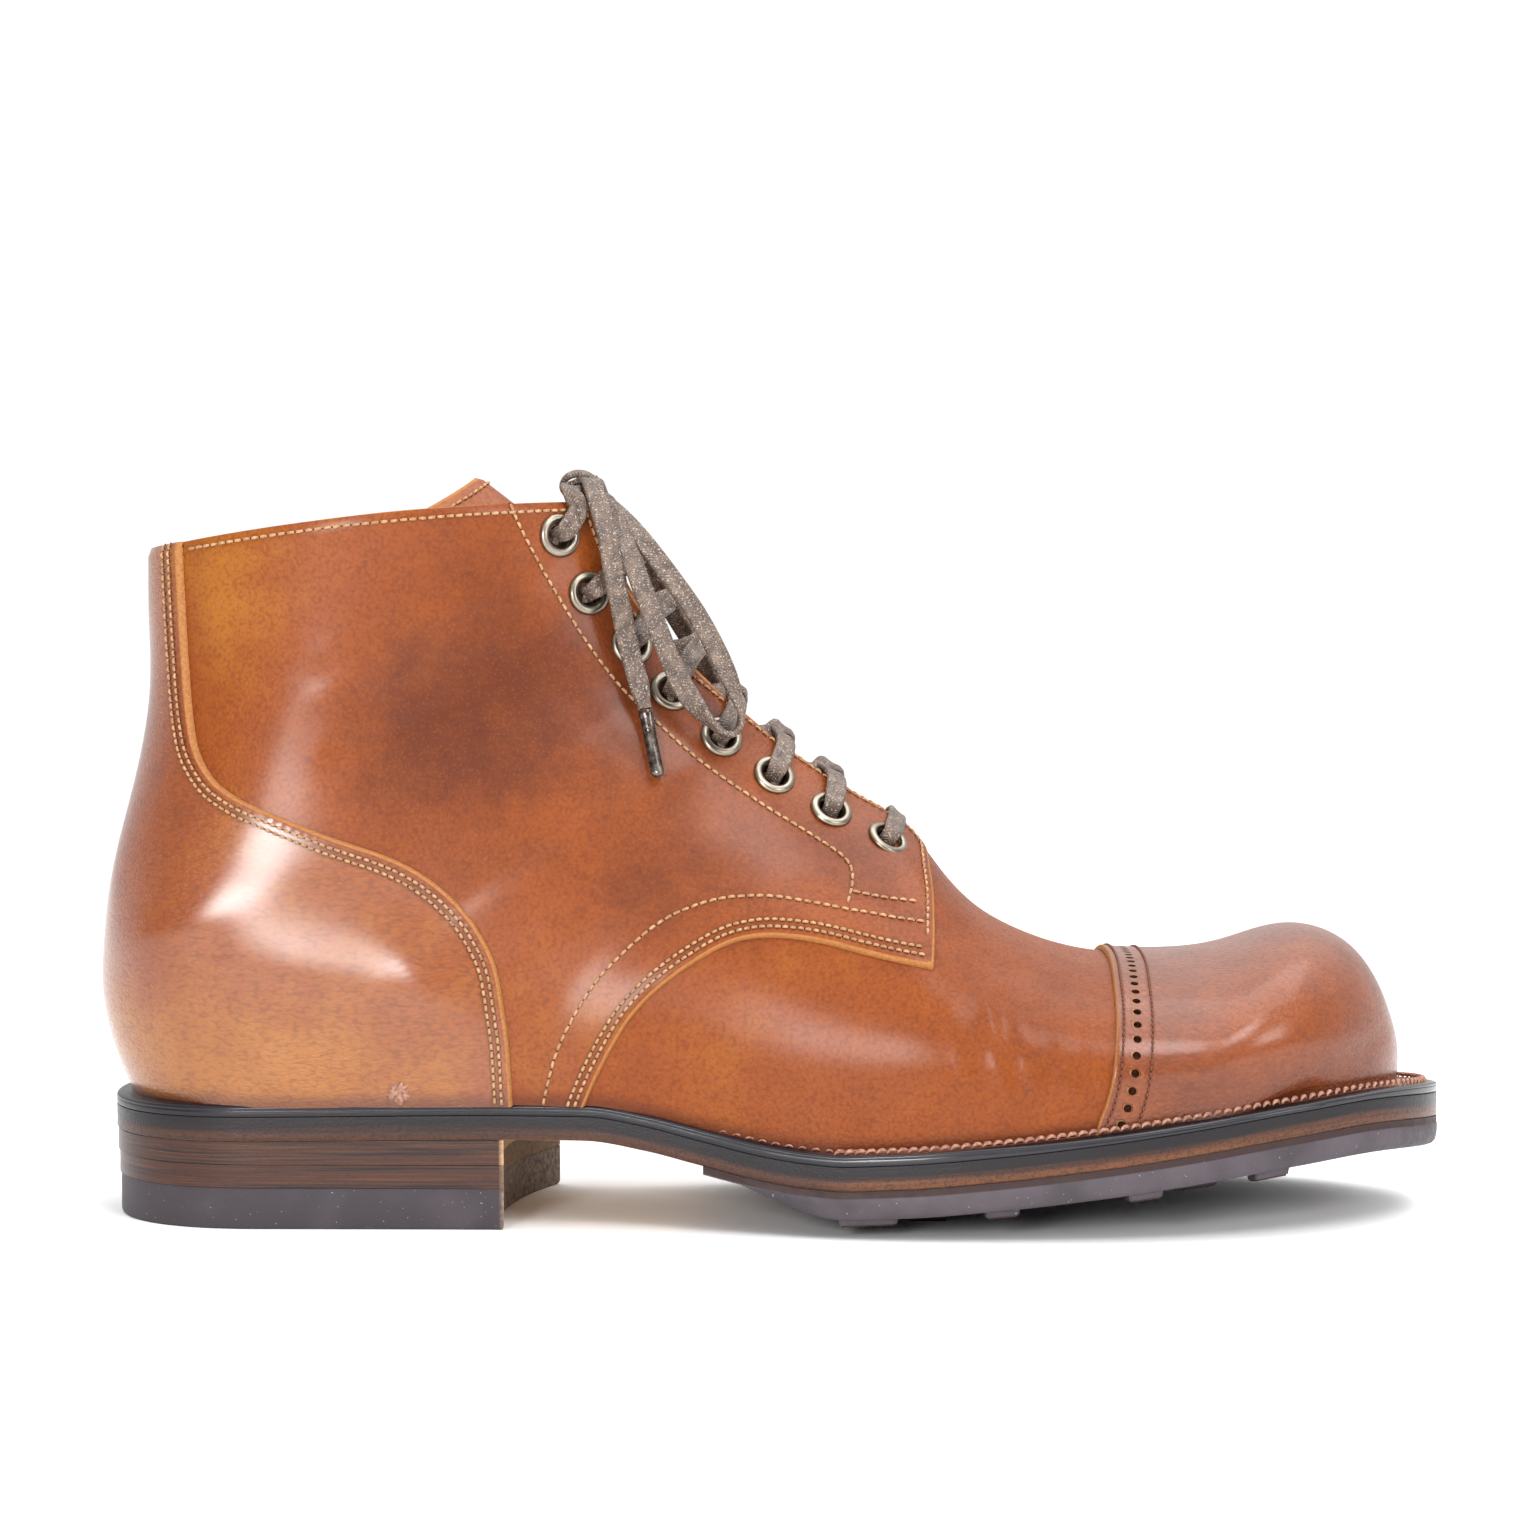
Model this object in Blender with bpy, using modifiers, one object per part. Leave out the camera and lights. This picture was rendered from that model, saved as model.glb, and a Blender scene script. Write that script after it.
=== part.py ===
"""Lace-up service boot for the right foot: hollow leather upper, welted leather and rubber sole.

Lengths in the tables are millimetres. x runs from the back of the heel to the toe, y from the
outer side (negative) to the inner side (positive), and z up from the floor. The model's origin
is on the floor under the middle of the boot.
"""

import math

import bpy
import bmesh
import numpy as np
from mathutils import Matrix, Vector

MM = 0.001
MERGE = 0.02 * MM  # points closer than this are one
SHARP = math.radians(40)  # edges turned more than this stay sharp
BOOT_MIDDLE = Vector((0, 0, 0.05))  # a point inside the boot, in the model's frame
LENGTH = 305.0  # back of the heel counter to the tip of the sole
GAP = 0.3  # between pieces that touch
OUTLINE_STEPS, RIDGE_STEPS, FACING_STEPS, PATH_STEPS = 600, 800, 60, 12  # points of fine lines
ARCH_STEPS = (60, 40)  # above and below a section's widest point

# Leather and sole thicknesses
WALL = 2.4  # upper with its lining
OVERLAY = 1.2  # toe cap and heel counter
OVERLAY_LIFT = 0.45  # between an overlay and the curved upper under it
WELT = 3.0
WELT_INSIDE = 2.9  # from the feather line to the welt's inner edge
MIDSOLE = 5.4
RUBBER = 6.3
LUG = 1.6
INSOLE = 5.4
INSOLE_INSET = 6.0  # from the feather line, clear of the lining
TOP_LIFT = 9.2
LIFTS = 2

# Outline of the sole: heel curve, two sides, toe curve
SOLE_BACK = 4.0
SOLE_TIP = LENGTH
HEEL_CURVE_END = 40.0
BALL = 218.0  # where both sides are widest
TOE_SHARE, HEEL_SHARE = 0.36, 0.86  # of each half outline, where its curves end
TIP_SWING = 4.0  # the toe lies this far towards the inner side
SWING_FROM = 120.0
TOE_ROUND = 2.15
HEEL_ROUND = 2.2
SIDES = {  # half widths of the sole between the heel curve and the ball
    "x": (40, 70, 95, 115, 135, 155, 175, 195, 218),
    "outer": (34, 34.4, 35, 36.6, 40.2, 45.4, 49.8, 52.2, 53),
    "inner": (34, 33.6, 32, 30.8, 31.8, 36, 42.6, 48.8, 53),
}

# The feather line, where the upper meets the welt, lies inside the sole's edge
FEATHER_BACK = 9.0
FEATHER_TIP = 294.9
MARGIN = {  # welt left outside the upper
    "x": (40, 95, 135, 175, 218),
    "mm": (3.2, 3.0, 3.2, 4.4, 5.2),
}
TOE_FAN = 240.0  # sections in front of this turn over the toe

# Top of the welt along the middle of the sole
SOLE_LINE = {
    "x": (4, 40, 95, 112, 125, 137, 150, 160, 170, 181, 203, 225, 247, 268, 288, 305),
    "z": (27.8, 28, 28.5, 28.1, 25.8, 22.6, 19.2, 17.3, 16.3, 16.3, 17.2, 18.9, 21.2,
          24.4, 27.8, 29.4),
}
# The forefoot is turned a little, outer edge up, and dished
FOREFOOT = {
    "x": (100, 137, 160, 181, 225, 268, 305),
    "turn": (0, 0.02, 0.033, 0.042, 0.062, 0.09, 0.1),
    "dish": (0, 0.6, 0.9, 1.4, 2.2, 2.8, 3.0),
}
DISH_REACH = 50.0

# Middle line of the upper, from under the toe over the instep to the front of the collar
RIDGE = {
    "x": (291.5, 294.9, 294.4, 292.8, 289.5, 284, 278.8, 273.5, 268.2, 262.7, 257, 251, 245, 239,
          228, 222, 216.5, 210.8, 205.1, 199.4, 193, 187, 180, 169.4, 158.2, 142, 134.2,
          125.4, 118.2),
    "z": (18.6, 28.6, 37.5, 44.2, 51.9, 58.9, 62, 63, 62.4, 60.6, 58.8, 57.3, 57.1, 57.1,
          58.2, 58.8, 60.2, 62.3, 65.2, 68.9, 75.3, 83, 89.8, 97.2, 105.6, 121.4, 133,
          145, 160.8),
}
# Back seam of the upper, from below the welt to the collar
BACK = {
    "z": (16, 22, 28, 36, 46, 57, 68, 79, 90, 100, 110, 120, 135, 150.5),
    "x": (13, 10, 7, 2.4, -0.2, -0.9, 1.0, 5.4, 8.8, 10.4, 12.3, 13.6, 13.4, 13.4),
}
HEEL_ARC = 50.0  # length given to the heel curve on the base line

# The last runs on below the welt to a base line, deeper and further in than the feather line,
# and the upper is trimmed on the welt.
SKIRT = 12.0
TUCK = 4.0

# Sections of the last. ridge: mm along the middle line from the toe. base: mm along the
# base line from the toe fan to the back of the heel, then up the back seam. outer, inner:
# half widths. widest: how far up the section it is widest. round, lower: corner exponents
# above and below there.
SECTIONS = {
    "name": ("toe edge", "toe front", "toe rise", "crown", "cap", "cap line", "joint",
             "ball", "waist", "instep", "throat", "shank", "heel side", "long heel",
             "heel point", "short heel", "ankle", "shaft", "collar"),
    "ridge": (0, 22, 34, 51, 73, 99.5, 124.5, 138.5, 149.5, 159, 167.5, 177.5, 187.5, 198.5,
              208.5, 217.5, 228.5, 241.5, 258.5),
    "base": (0, 3.5, 6.5, 9.5, 12, 14.5, 36, 52, 72, 95, 122, 152, 185, 225, 250, 292, 325,
             357, 384),
    "outer": (47.8, 48.4, 48.8, 49.2, 49.5, 49.7, 49.8, 48.8, 46.4, 42.4, 38.8, 37, 35.8, 35.4,
              35.2, 33.2, 30, 29.6, 30.6),
    "inner": (47.8, 48.4, 48.8, 49.2, 49.5, 49.7, 48.8, 45.8, 41.2, 37.6, 35.4, 34.8, 34.6,
              34.6, 34.6, 33, 30, 29.6, 30.6),
    "widest": (-0.4, -0.15, 0.1, 0.28, 0.38, 0.46, 0.43, 0.4, 0.37, 0.35, 0.34, 0.34, 0.34,
               0.35, 0.34, 0.30, 0.37, 0.45, 0.5),
    "round": (2.15, 2.15, 2.2, 2.25, 2.3, 2.3, 2.2, 2.1, 2.05, 2.05, 2.1, 2.1, 2.1, 2.1,
              1.95, 1.75, 1.55, 1.48, 1.45),
    "lower": (2.1, 2.1, 2.1, 2.1, 2.1, 2.1, 2.1, 2.1, 2.1, 2.1, 2.1, 2.2, 2.5, 2.9, 3.0, 2.6,
              2.4, 2.2, 2.1),
}
COLLAR_BOW = 2.2  # the collar rises this much between back and front
COLLAR_BOW_FROM = 16  # the ankle section
ROW_STEPS = {  # rows of the mesh in each stretch of sections
    "first": (0, 12, 15),
    "last": (12, 15, 18),
    "rows": (18, 11, 5),
}
COLUMNS = 9  # on each side of the upper
HEEL_EASE_REACH = 62.0
HEEL_EASE_ROUNDS = 2

# Throat: the lace opening between the two facings
THROAT_RIDGE = 151.5
THROAT_HALF = (5.0, 8.5)  # at the bottom and at the collar

# Rubber half sole, and the lugs under it. edge: gap from the sole's edge.
RUBBER_START = 138.0
RUBBER_TAPER = 30.0
RUBBER_EDGE = 1.0
LUG_DRAFT = 0.86
LUG_ROOT = 1.5
LUG_TO_FLOOR = 1.3  # a lug that would end this near the floor stands on it
LUGS = {
    "x": (174, 203, 234, 262, 174, 203, 234, 262, 160, 188, 218, 248, 160, 188, 218, 248, 280),
    "edge": (2, 2, 2, 2, 2, 2, 2, 2, 28, 28, 30, 28, 20, 26, 30, 30, 26),
    "long": (14, 8, 8, 8, 14, 8, 8, 8, 10, 10, 10, 10, 10, 10, 10, 10, 10),
    "wide": (16, 16, 16, 16, 16, 16, 16, 16, 14, 16, 16, 14, 14, 16, 16, 14, 14),
    "side": ("outer",) * 4 + ("inner",) * 4 + ("outer",) * 4 + ("inner",) * 5,
}
SOLE_ROWS = 26
PLATE_COLUMNS = 3
TRIM_REACH = 15.0  # the trimming block reaches this far past the sole
TRIM_COLUMNS = 8
HEEL_ROWS = 9
HEEL_COLUMNS = 6
BREAST_OUTER, BREAST_INNER = 94.0, 103.0
BREAST_HOLLOW = 5.0
HEEL_TAPER = 0.6  # each lift is this much smaller all round than the one above

# Tongue under the throat
TONGUE = {
    "ridge": (142, 160, 190, 225, 245, 260, 277),
    "half": (8, 11, 14.5, 18, 20, 21, 21),
    "depth": (5.2, 5.4, 6.4, 10, 13, 18, 26.5),
}
TONGUE_ROWS = 11
TONGUE_COLUMNS = 6
TONGUE_THICK = 2.0
TONGUE_CORNER = 12.0  # its top edge falls this much from the middle to the corners
TONGUE_POINT = 1.3  # 1 for a sharp point in the middle of that edge, 2 for a round one

# Heel counter, seen from the side, from the collar down to the welt
COUNTER_EDGE = {
    "x": (21.8, 23.8, 25.8, 30, 35.5, 44.2, 57.2, 68.5, 76.1, 83.4, 88.8, 92.8, 94.4, 95.5, 96.4),
    "z": (156, 121.2, 107, 99.2, 95.2, 91.4, 86.3, 82.5, 78.6, 72.8, 66.2, 57.8, 49, 40.9, 24),
}
COUNTER_STEPS = 28
COUNTER_PAST = (-10.0, 60.0)  # its outline runs behind the heel and past both sides
COUNTER_FIRST_SECTION = 9
CAP_LAST_SECTION = 5  # the cap ends at the cap line

# Eyelets, from the collar down. ridge: along the middle line. inset: from the facing's edge.
EYELETS = {
    "ridge": (250.5, 238, 225.5, 214, 200, 186.5, 173, 160),
    "inset": (11.7, 10.4, 8.6, 10.2, 12.4, 12.4, 13.2, 12.9),
}
EYELET_RADIUS = 4.7
EYELET_HOLE = 2.6
EYELET_FLANGE = 1.1
EYELET_METAL = 0.5
EYELET_LIP = 0.4  # the hole widens by this much at the rolled edge
EYELET_ROLL = (0.5, 0.7)  # rolled edge: in from the rim, share of the flange's height
EYELET_SIDES = 8
EYELET_CUT = 9.6  # depth of the holes' cutters

# Laces: flat and waxed
LACE_WIDTH = 4.8
LACE_THICK = 1.4
LACE_CLEAR = 2.9  # middle of the lace above the leather at an eyelet
LACE_EDGE_CLEAR = 1.6
LACE_SINK = 1.6
LACE_DIP = 0.6
LACE_FAR = 0.45  # how far across the other half of the gap a crossing reaches
LACE_SHOULDER = 3.8  # from the facing's edge, where the lace is past the eyelet
LACE_OVERLAP = 0.6  # of its thickness, the upper strand over the lower one
CLIMB = {"shoulder": 0.2, "edge": 0.34, "middle": 0.5, "far": 0.62}  # from eyelet to eyelet
TOP_STRAND = {  # rim: along the middle line and in from the facing's edge, near the collar
    "rim": (255.5, 5.5),
    "over": (108, 12.4, 163),
    "end": (108, 6.9, 164),
    "lies": (0, 0.4, 0.9),
}
LACE_POINTS = 7
CORD_RADIUS = 1.6
CORD_POINTS = 1.3  # tube points for each point of a cord's route
CORD_LEAST = 8
AGLET_RADIUS = 1.5

# Knot and bow, tied at the top of the throat. Routes run from the knot; the outer loop and end
# hang over the outer facing, the inner ones over the inner facing.
KNOT = {"centre": (109.4, -0.5, 164.4), "half": (4.0, 5.6, 2.9), "segments": 10, "rings": 6}
BOW = {
    "lace_loop_outer": ((116.3, -5.5, 160.1), (120.2, -8, 156.3), (125, -10.5, 150.6),
                        (130.8, -13, 143.1), (136.6, -15, 134.8), (141.7, -17, 125.3),
                        (145.1, -18.8, 117), (146.1, -20.4, 111.4), (143.6, -21.4, 108.6),
                        (138.9, -21.6, 112), (134.8, -21.4, 117.1), (131.5, -21, 123.1),
                        (128.2, -20, 131.1), (124.3, -17.6, 141.2), (120.4, -13, 150.8),
                        (117.5, -9, 156.9)),
    "lace_loop_inner": ((115.2, 5.5, 161.1), (118.7, 8.5, 154.8), (122.8, 11, 147.4),
                        (127.3, 13.4, 140.1), (132.1, 15.6, 132.4), (136.9, 17.4, 124.3),
                        (140.6, 18.8, 116.2), (142.5, 20.4, 110.3), (140.6, 21.4, 107.5),
                        (136.4, 21.8, 111.4), (132.7, 21.6, 117.2), (129.4, 21.2, 123.3),
                        (126.2, 20.2, 131.2), (122.9, 17.6, 141), (119.6, 12.6, 150.9),
                        (116.8, 8.8, 157)),
    "lace_end_outer": ((112.7, -8, 164.6), (114.8, -12.6, 158.6), (116.6, -15.4, 152),
                       (117.9, -16.8, 144.1), (119.6, -17.6, 135.9), (121.4, -18.6, 127.4),
                       (123.3, -20, 120.8), (124.9, -21.6, 114.5)),
    "lace_end_inner": ((112.7, 7, 164.6), (114.4, 12.2, 158.6), (115.8, 15.4, 152),
                       (117, 16.8, 144), (118.6, 17.8, 136), (120.4, 19, 127.4),
                       (122.2, 20.8, 120.4), (123.8, 22.6, 114.2)),
}
AGLETS = {
    "aglet_outer": ((125, -21.7, 114), (126.3, -23.6, 107.4), (128, -26.4, 99.6)),
    "aglet_inner": ((123.9, 22.7, 113.7), (125.2, 24.8, 107), (126.8, 27.6, 99.4)),
}

# Colours
TAN = (0.36, 0.13, 0.035, 1)
DARK_EDGE = (0.035, 0.022, 0.018, 1)
RUBBER_GREY = (0.075, 0.06, 0.055, 1)
STACK = (0.06, 0.03, 0.02, 1)
BRASS = (0.38, 0.31, 0.2, 1)
LACE = (0.13, 0.1, 0.075, 1)
LINING = (0.55, 0.33, 0.15, 1)


def smooth(knots, values, at):
    """Monotone cubic through the knots, so that a table never overshoots."""
    x, y = np.asarray(knots, float), np.asarray(values, float)
    if x[0] > x[-1]:
        x, y = x[::-1], y[::-1]
    step, slope = np.diff(x), np.diff(y) / np.diff(x)
    tangent = np.zeros(len(x))
    tangent[0], tangent[-1] = slope[0], slope[-1]
    for i in range(1, len(x) - 1):
        if slope[i - 1] * slope[i] > 0:
            before, after = step[i - 1], step[i]
            total = 3 * (before + after)
            tangent[i] = total / (
                (2 * after + before) / slope[i - 1] + (after + 2 * before) / slope[i]
            )
    at = np.clip(np.asarray(at, float), x[0], x[-1])
    i = np.clip(np.searchsorted(x, at) - 1, 0, len(step) - 1)
    u = (at - x[i]) / step[i]
    return (
        (1 + 2 * u) * (1 - u) ** 2 * y[i]
        + u * (1 - u) ** 2 * step[i] * tangent[i]
        + u * u * (3 - 2 * u) * y[i + 1]
        + u * u * (u - 1) * step[i] * tangent[i + 1]
    )


def sole_z(x, y):
    """Top of the welt anywhere over the sole."""
    turn = smooth(FOREFOOT["x"], FOREFOOT["turn"], x)
    dish = smooth(FOREFOOT["x"], FOREFOOT["dish"], x)
    return smooth(SOLE_LINE["x"], SOLE_LINE["z"], x) - turn * y + dish * (y / DISH_REACH) ** 2


def outline(side, share, feather=False, inset=0.0):
    """Points of half the outline, share 0 at the toe tip to 1 at the back of the heel."""
    sign = -1 if side == "outer" else 1
    tip, back = (FEATHER_TIP, FEATHER_BACK) if feather else (SOLE_TIP, SOLE_BACK)
    tip, back = tip - inset, back + inset
    margin = smooth(MARGIN["x"], MARGIN["mm"], SIDES["x"]) if feather else 0
    half = np.array(SIDES[side]) - margin - inset
    share = np.atleast_1d(np.asarray(share, float))
    x, y = np.zeros(len(share)), np.zeros(len(share))
    toe = share < TOE_SHARE
    turn = np.pi / 2 * share[toe] / TOE_SHARE
    x[toe] = BALL + (tip - BALL) * np.cos(turn) ** (2 / TOE_ROUND)
    y[toe] = TIP_SWING + (sign * half[-1] - TIP_SWING) * np.sin(turn) ** (2 / TOE_ROUND)
    heel = share > HEEL_SHARE
    turn = np.pi / 2 * (share[heel] - HEEL_SHARE) / (1 - HEEL_SHARE)
    x[heel] = HEEL_CURVE_END - (HEEL_CURVE_END - back) * np.sin(turn) ** (2 / HEEL_ROUND)
    y[heel] = sign * half[0] * np.cos(turn) ** (2 / HEEL_ROUND)
    middle = ~toe & ~heel
    along = (share[middle] - TOE_SHARE) / (HEEL_SHARE - TOE_SHARE)
    x[middle] = BALL + (HEEL_CURVE_END - BALL) * along
    y[middle] = sign * smooth(SIDES["x"], half, x[middle])
    return np.stack([x, y], 1)


SHARES = np.linspace(0, 1, OUTLINE_STEPS)
BASE_LINE = {side: outline(side, SHARES, True, TUCK) for side in ("outer", "inner")}


def base_point(side, base):
    """A point of the base line, or of the back seam above it."""
    side_length = TOE_FAN - HEEL_CURVE_END
    line = BASE_LINE[side]
    if base <= side_length:
        x = TOE_FAN - base
        y = np.interp(x, line[::-1, 0], line[::-1, 1])
    elif base <= side_length + HEEL_ARC:
        turn = np.pi / 2 * (base - side_length) / HEEL_ARC
        half = abs(np.interp(HEEL_CURVE_END, line[::-1, 0], line[::-1, 1]))
        sign = -1 if side == "outer" else 1
        reach = HEEL_CURVE_END - FEATHER_BACK - TUCK
        x = HEEL_CURVE_END - reach * np.sin(turn) ** (2 / HEEL_ROUND)
        y = sign * half * max(np.cos(turn), 0) ** (2 / HEEL_ROUND)
    else:
        z = BACK["z"][0] + base - side_length - HEEL_ARC
        return np.array([float(smooth(BACK["z"], BACK["x"], z)), 0.0, z])
    return np.array([x, y, float(sole_z(x, y)) - SKIRT])


def ridge_line():
    """Dense points of the middle line with their length from the toe."""
    knots = np.stack([RIDGE["x"], RIDGE["z"]], 1).astype(float)
    chord = np.concatenate([[0], np.cumsum(np.linalg.norm(np.diff(knots, axis=0), axis=1))])
    at = np.linspace(0, chord[-1], RIDGE_STEPS)
    points = np.stack([smooth(chord, knots[:, 0], at), smooth(chord, knots[:, 1], at)], 1)
    length = np.concatenate([[0], np.cumsum(np.linalg.norm(np.diff(points, axis=0), axis=1))])
    return points, length


RIDGE_POINTS, RIDGE_LENGTH = ridge_line()


def ridge_point(ridge):
    x = np.interp(ridge, RIDGE_LENGTH, RIDGE_POINTS[:, 0])
    z = np.interp(ridge, RIDGE_LENGTH, RIDGE_POINTS[:, 1])
    swing = TIP_SWING * np.clip((x - SWING_FROM) / (FEATHER_TIP - SWING_FROM), 0, 1)
    return np.array([x, swing, z])


def throat_half(ridge):
    """Half the gap between the facings: none in front of the throat."""
    if ridge < THROAT_RIDGE:
        return 0.0
    share = (ridge - THROAT_RIDGE) / (RIDGE_LENGTH[-1] - THROAT_RIDGE)
    return THROAT_HALF[0] + (THROAT_HALF[1] - THROAT_HALF[0]) * share


def section_values(row):
    """The section table's columns at a row, which need not be whole."""
    index = np.arange(len(SECTIONS["name"]))
    columns = ("ridge", "base", "outer", "inner", "widest", "round", "lower")
    return {name: float(smooth(index, SECTIONS[name], row)) for name in columns}


def arch(row, side):
    """Dense points of one section of the last, from the middle line down to the base line."""
    v = section_values(row)
    front, end = ridge_point(v["ridge"]), base_point(side, v["base"])
    half = v[side] * (-1 if side == "outer" else 1)
    widest, power = v["widest"], 2 / v["round"]
    last = math.pi / 2
    if widest < 0:
        last = math.acos((-widest / (1 - widest)) ** (v["round"] / 2))
    turn = np.linspace(0, last, ARCH_STEPS[0])
    up = widest + (1 - widest) * np.cos(turn).clip(0) ** power
    y = front[1] + (half - front[1]) * np.sin(turn) ** power
    if widest > 0:
        turn = np.linspace(0, math.pi / 2, ARCH_STEPS[1])[1:]
        power = 2 / v["lower"]
        up = np.append(up, widest * (1 - np.sin(turn) ** power))
        y = np.append(y, end[1] + (half - end[1]) * np.cos(turn).clip(0) ** power)
    y = y + (end[1] - y[-1]) * (1 - up) ** 3
    flat = end[None, :] + up[:, None] * (front - end)[None, :]
    flat[:, 1] = y
    shaft = np.clip(row - COLLAR_BOW_FROM, 0, 2) / 2
    flat[:, 2] += COLLAR_BOW * shaft * 4 * up * (1 - up)
    return flat


def spaced(points, shares):
    """Points at the given shares of a polyline's length."""
    length = np.concatenate([[0], np.cumsum(np.linalg.norm(np.diff(points, axis=0), axis=1))])
    at = np.asarray(shares) * length[-1]
    return np.stack([np.interp(at, length, points[:, k]) for k in range(3)], 1)


def half_section(row, side, columns):
    """One section from the middle line, or the facing's edge, to the base line."""
    points = arch(row, side)
    gap = throat_half(section_values(row)["ridge"])
    if gap:
        away = np.abs(points[:, 1] - points[0, 1])
        first = int(np.argmax(away > gap))
        share = (gap - away[first - 1]) / (away[first] - away[first - 1])
        edge = points[first - 1] + share * (points[first] - points[first - 1])
        points = np.vstack([edge, points[first:]])
    return spaced(points, np.linspace(0, 1, columns + 1))


def world(point):
    return Vector(((point[0] - LENGTH / 2) * MM, point[1] * MM, point[2] * MM))


def material(name, colour, roughness, metallic=0.0):
    made = bpy.data.materials.new(name)
    made.use_nodes = True
    shader = made.node_tree.nodes["Principled BSDF"]
    shader.inputs["Base Color"].default_value = colour
    shader.inputs["Roughness"].default_value = roughness
    shader.inputs["Metallic"].default_value = metallic
    return made


def add_object(name, mesh, finish, collection):
    made = bpy.data.objects.new(name, mesh)
    if finish:
        mesh.materials.append(finish)
    collection.objects.link(made)
    return made


def mesh_from(name, points, faces):
    """A mesh from points in millimetres, with doubles merged and faces turned outwards."""
    mesh = bpy.data.meshes.new(name)
    mesh.from_pydata([world(p) for p in points], [], faces)
    shape = bmesh.new()
    shape.from_mesh(mesh)
    bmesh.ops.remove_doubles(shape, verts=shape.verts, dist=MERGE)
    bmesh.ops.dissolve_degenerate(shape, edges=shape.edges, dist=MERGE / 2)
    bmesh.ops.recalc_face_normals(shape, faces=shape.faces)
    shape.to_mesh(mesh)
    shape.free()
    mesh.shade_smooth()
    mesh.set_sharp_from_angle(angle=SHARP)
    return mesh


def grid_faces(rows, columns):
    return [
        (i * columns + j, i * columns + j + 1, (i + 1) * columns + j + 1, (i + 1) * columns + j)
        for i in range(rows - 1)
        for j in range(columns - 1)
    ]


def mesh_rows():
    """Rows of the upper's mesh, closer together round the heel."""
    rows = [0.0]
    for start, stop, count in zip(ROW_STEPS["first"], ROW_STEPS["last"], ROW_STEPS["rows"]):
        rows.extend(np.linspace(start, stop, count + 1)[1:])
    return rows


def upper_surface(name, first, last, lift=0.0):
    """The last's surface between two sections, moved out by lift."""
    rows = [first] + [row for row in mesh_rows() if first < row <= last]
    points, faces = [], []
    for side in ("outer", "inner"):
        start = len(points)
        for row in rows:
            points.extend(half_section(row, side, COLUMNS))
        for face in grid_faces(len(rows), COLUMNS + 1):
            face = face if side == "outer" else face[::-1]
            faces.append(tuple(start + k for k in face))
    mesh = mesh_from(name, points, faces)
    turn_outwards(mesh)
    ease_heel(mesh)
    if lift:
        move_along_normals(mesh, lift * MM)
    return mesh


def turn_outwards(mesh):
    """Turns an open surface so that its faces point away from the middle of the boot."""
    shape = bmesh.new()
    shape.from_mesh(mesh)
    facing = sum(
        face.normal.dot(face.calc_center_median() - BOOT_MIDDLE) * face.calc_area()
        for face in shape.faces
    )
    if facing < 0:
        bmesh.ops.reverse_faces(shape, faces=shape.faces)
    shape.to_mesh(mesh)
    shape.free()


def ease_heel(mesh):
    """Evens out the surface where the sections turn round the back of the heel.

    The faces become triangles, so that an overlay and the upper under it are split alike.
    """
    shape = bmesh.new()
    shape.from_mesh(mesh)
    corner = world((HEEL_EASE_REACH, 0, HEEL_EASE_REACH))
    soft = [v for v in shape.verts if v.co.x < corner.x and v.co.z < corner.z and not v.is_boundary]
    for _ in range(HEEL_EASE_ROUNDS):
        bmesh.ops.smooth_vert(shape, verts=soft, factor=0.5, use_axis_x=True, use_axis_y=True,
                              use_axis_z=True)
    bmesh.ops.triangulate(shape, faces=shape.faces)
    shape.to_mesh(mesh)
    shape.free()


def move_along_normals(mesh, distance):
    normals = [v.normal.copy() for v in mesh.vertices]
    for vertex, normal in zip(mesh.vertices, normals):
        vertex.co += normal * distance


def solidify(made, thickness, offset=-1.0):
    wall = made.modifiers.new("wall", "SOLIDIFY")
    wall.thickness = thickness * MM
    wall.offset = offset
    return wall


def boolean(made, cutter, operation):
    cut = made.modifiers.new(operation.lower(), "BOOLEAN")
    cut.operation = operation
    cut.object = cutter
    cut.solver = "EXACT"


def helper(made):
    made.hide_render = True
    made.display_type = "WIRE"
    return made


def plate(name, sides, top, bottom, columns, hollow=0.0):
    """A closed plate between two half outlines. hollow bends its first row inwards."""
    outer, inner = sides
    shares = np.linspace(0, 1, columns + 1)
    rows, wide = len(outer), columns + 1
    points = []
    for height in (top, bottom):
        for i in range(rows):
            fade = 1 - i / (rows - 1)
            for share in shares:
                x, y = outer[i] + (inner[i] - outer[i]) * share
                x -= hollow * 4 * share * (1 - share) * fade
                points.append((x, y, float(height(x, y))))
    skin = grid_faces(rows, wide)
    under = rows * wide
    faces = skin + [tuple(under + k for k in reversed(face)) for face in skin]
    rim = [i * wide for i in range(rows)]
    rim += [(rows - 1) * wide + j for j in range(1, wide)]
    rim += [i * wide + columns for i in range(rows - 2, -1, -1)]
    rim += list(range(columns - 1, 0, -1))
    for a, b in zip(rim, rim[1:] + rim[:1]):
        faces.append((a, a + under, b + under, b))
    return mesh_from(name, points, faces)


def ring(name, outside, inside, top, bottom):
    """A closed band between two outlines with as many points each."""
    points, faces = [], []
    loops = [np.vstack([half[0], half[1][-2:0:-1]]) for half in (outside, inside)]
    count = len(loops[0])
    for height in (top, bottom):
        for loop in loops:
            points.extend((x, y, float(height(x, y))) for x, y in loop)
    order = (0, 1, 3, 2)
    for a, b in zip(order, order[1:] + order[:1]):
        for k in range(count):
            after = (k + 1) % count
            faces.append((a * count + k, a * count + after, b * count + after, b * count + k))
    return mesh_from(name, points, faces)


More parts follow.
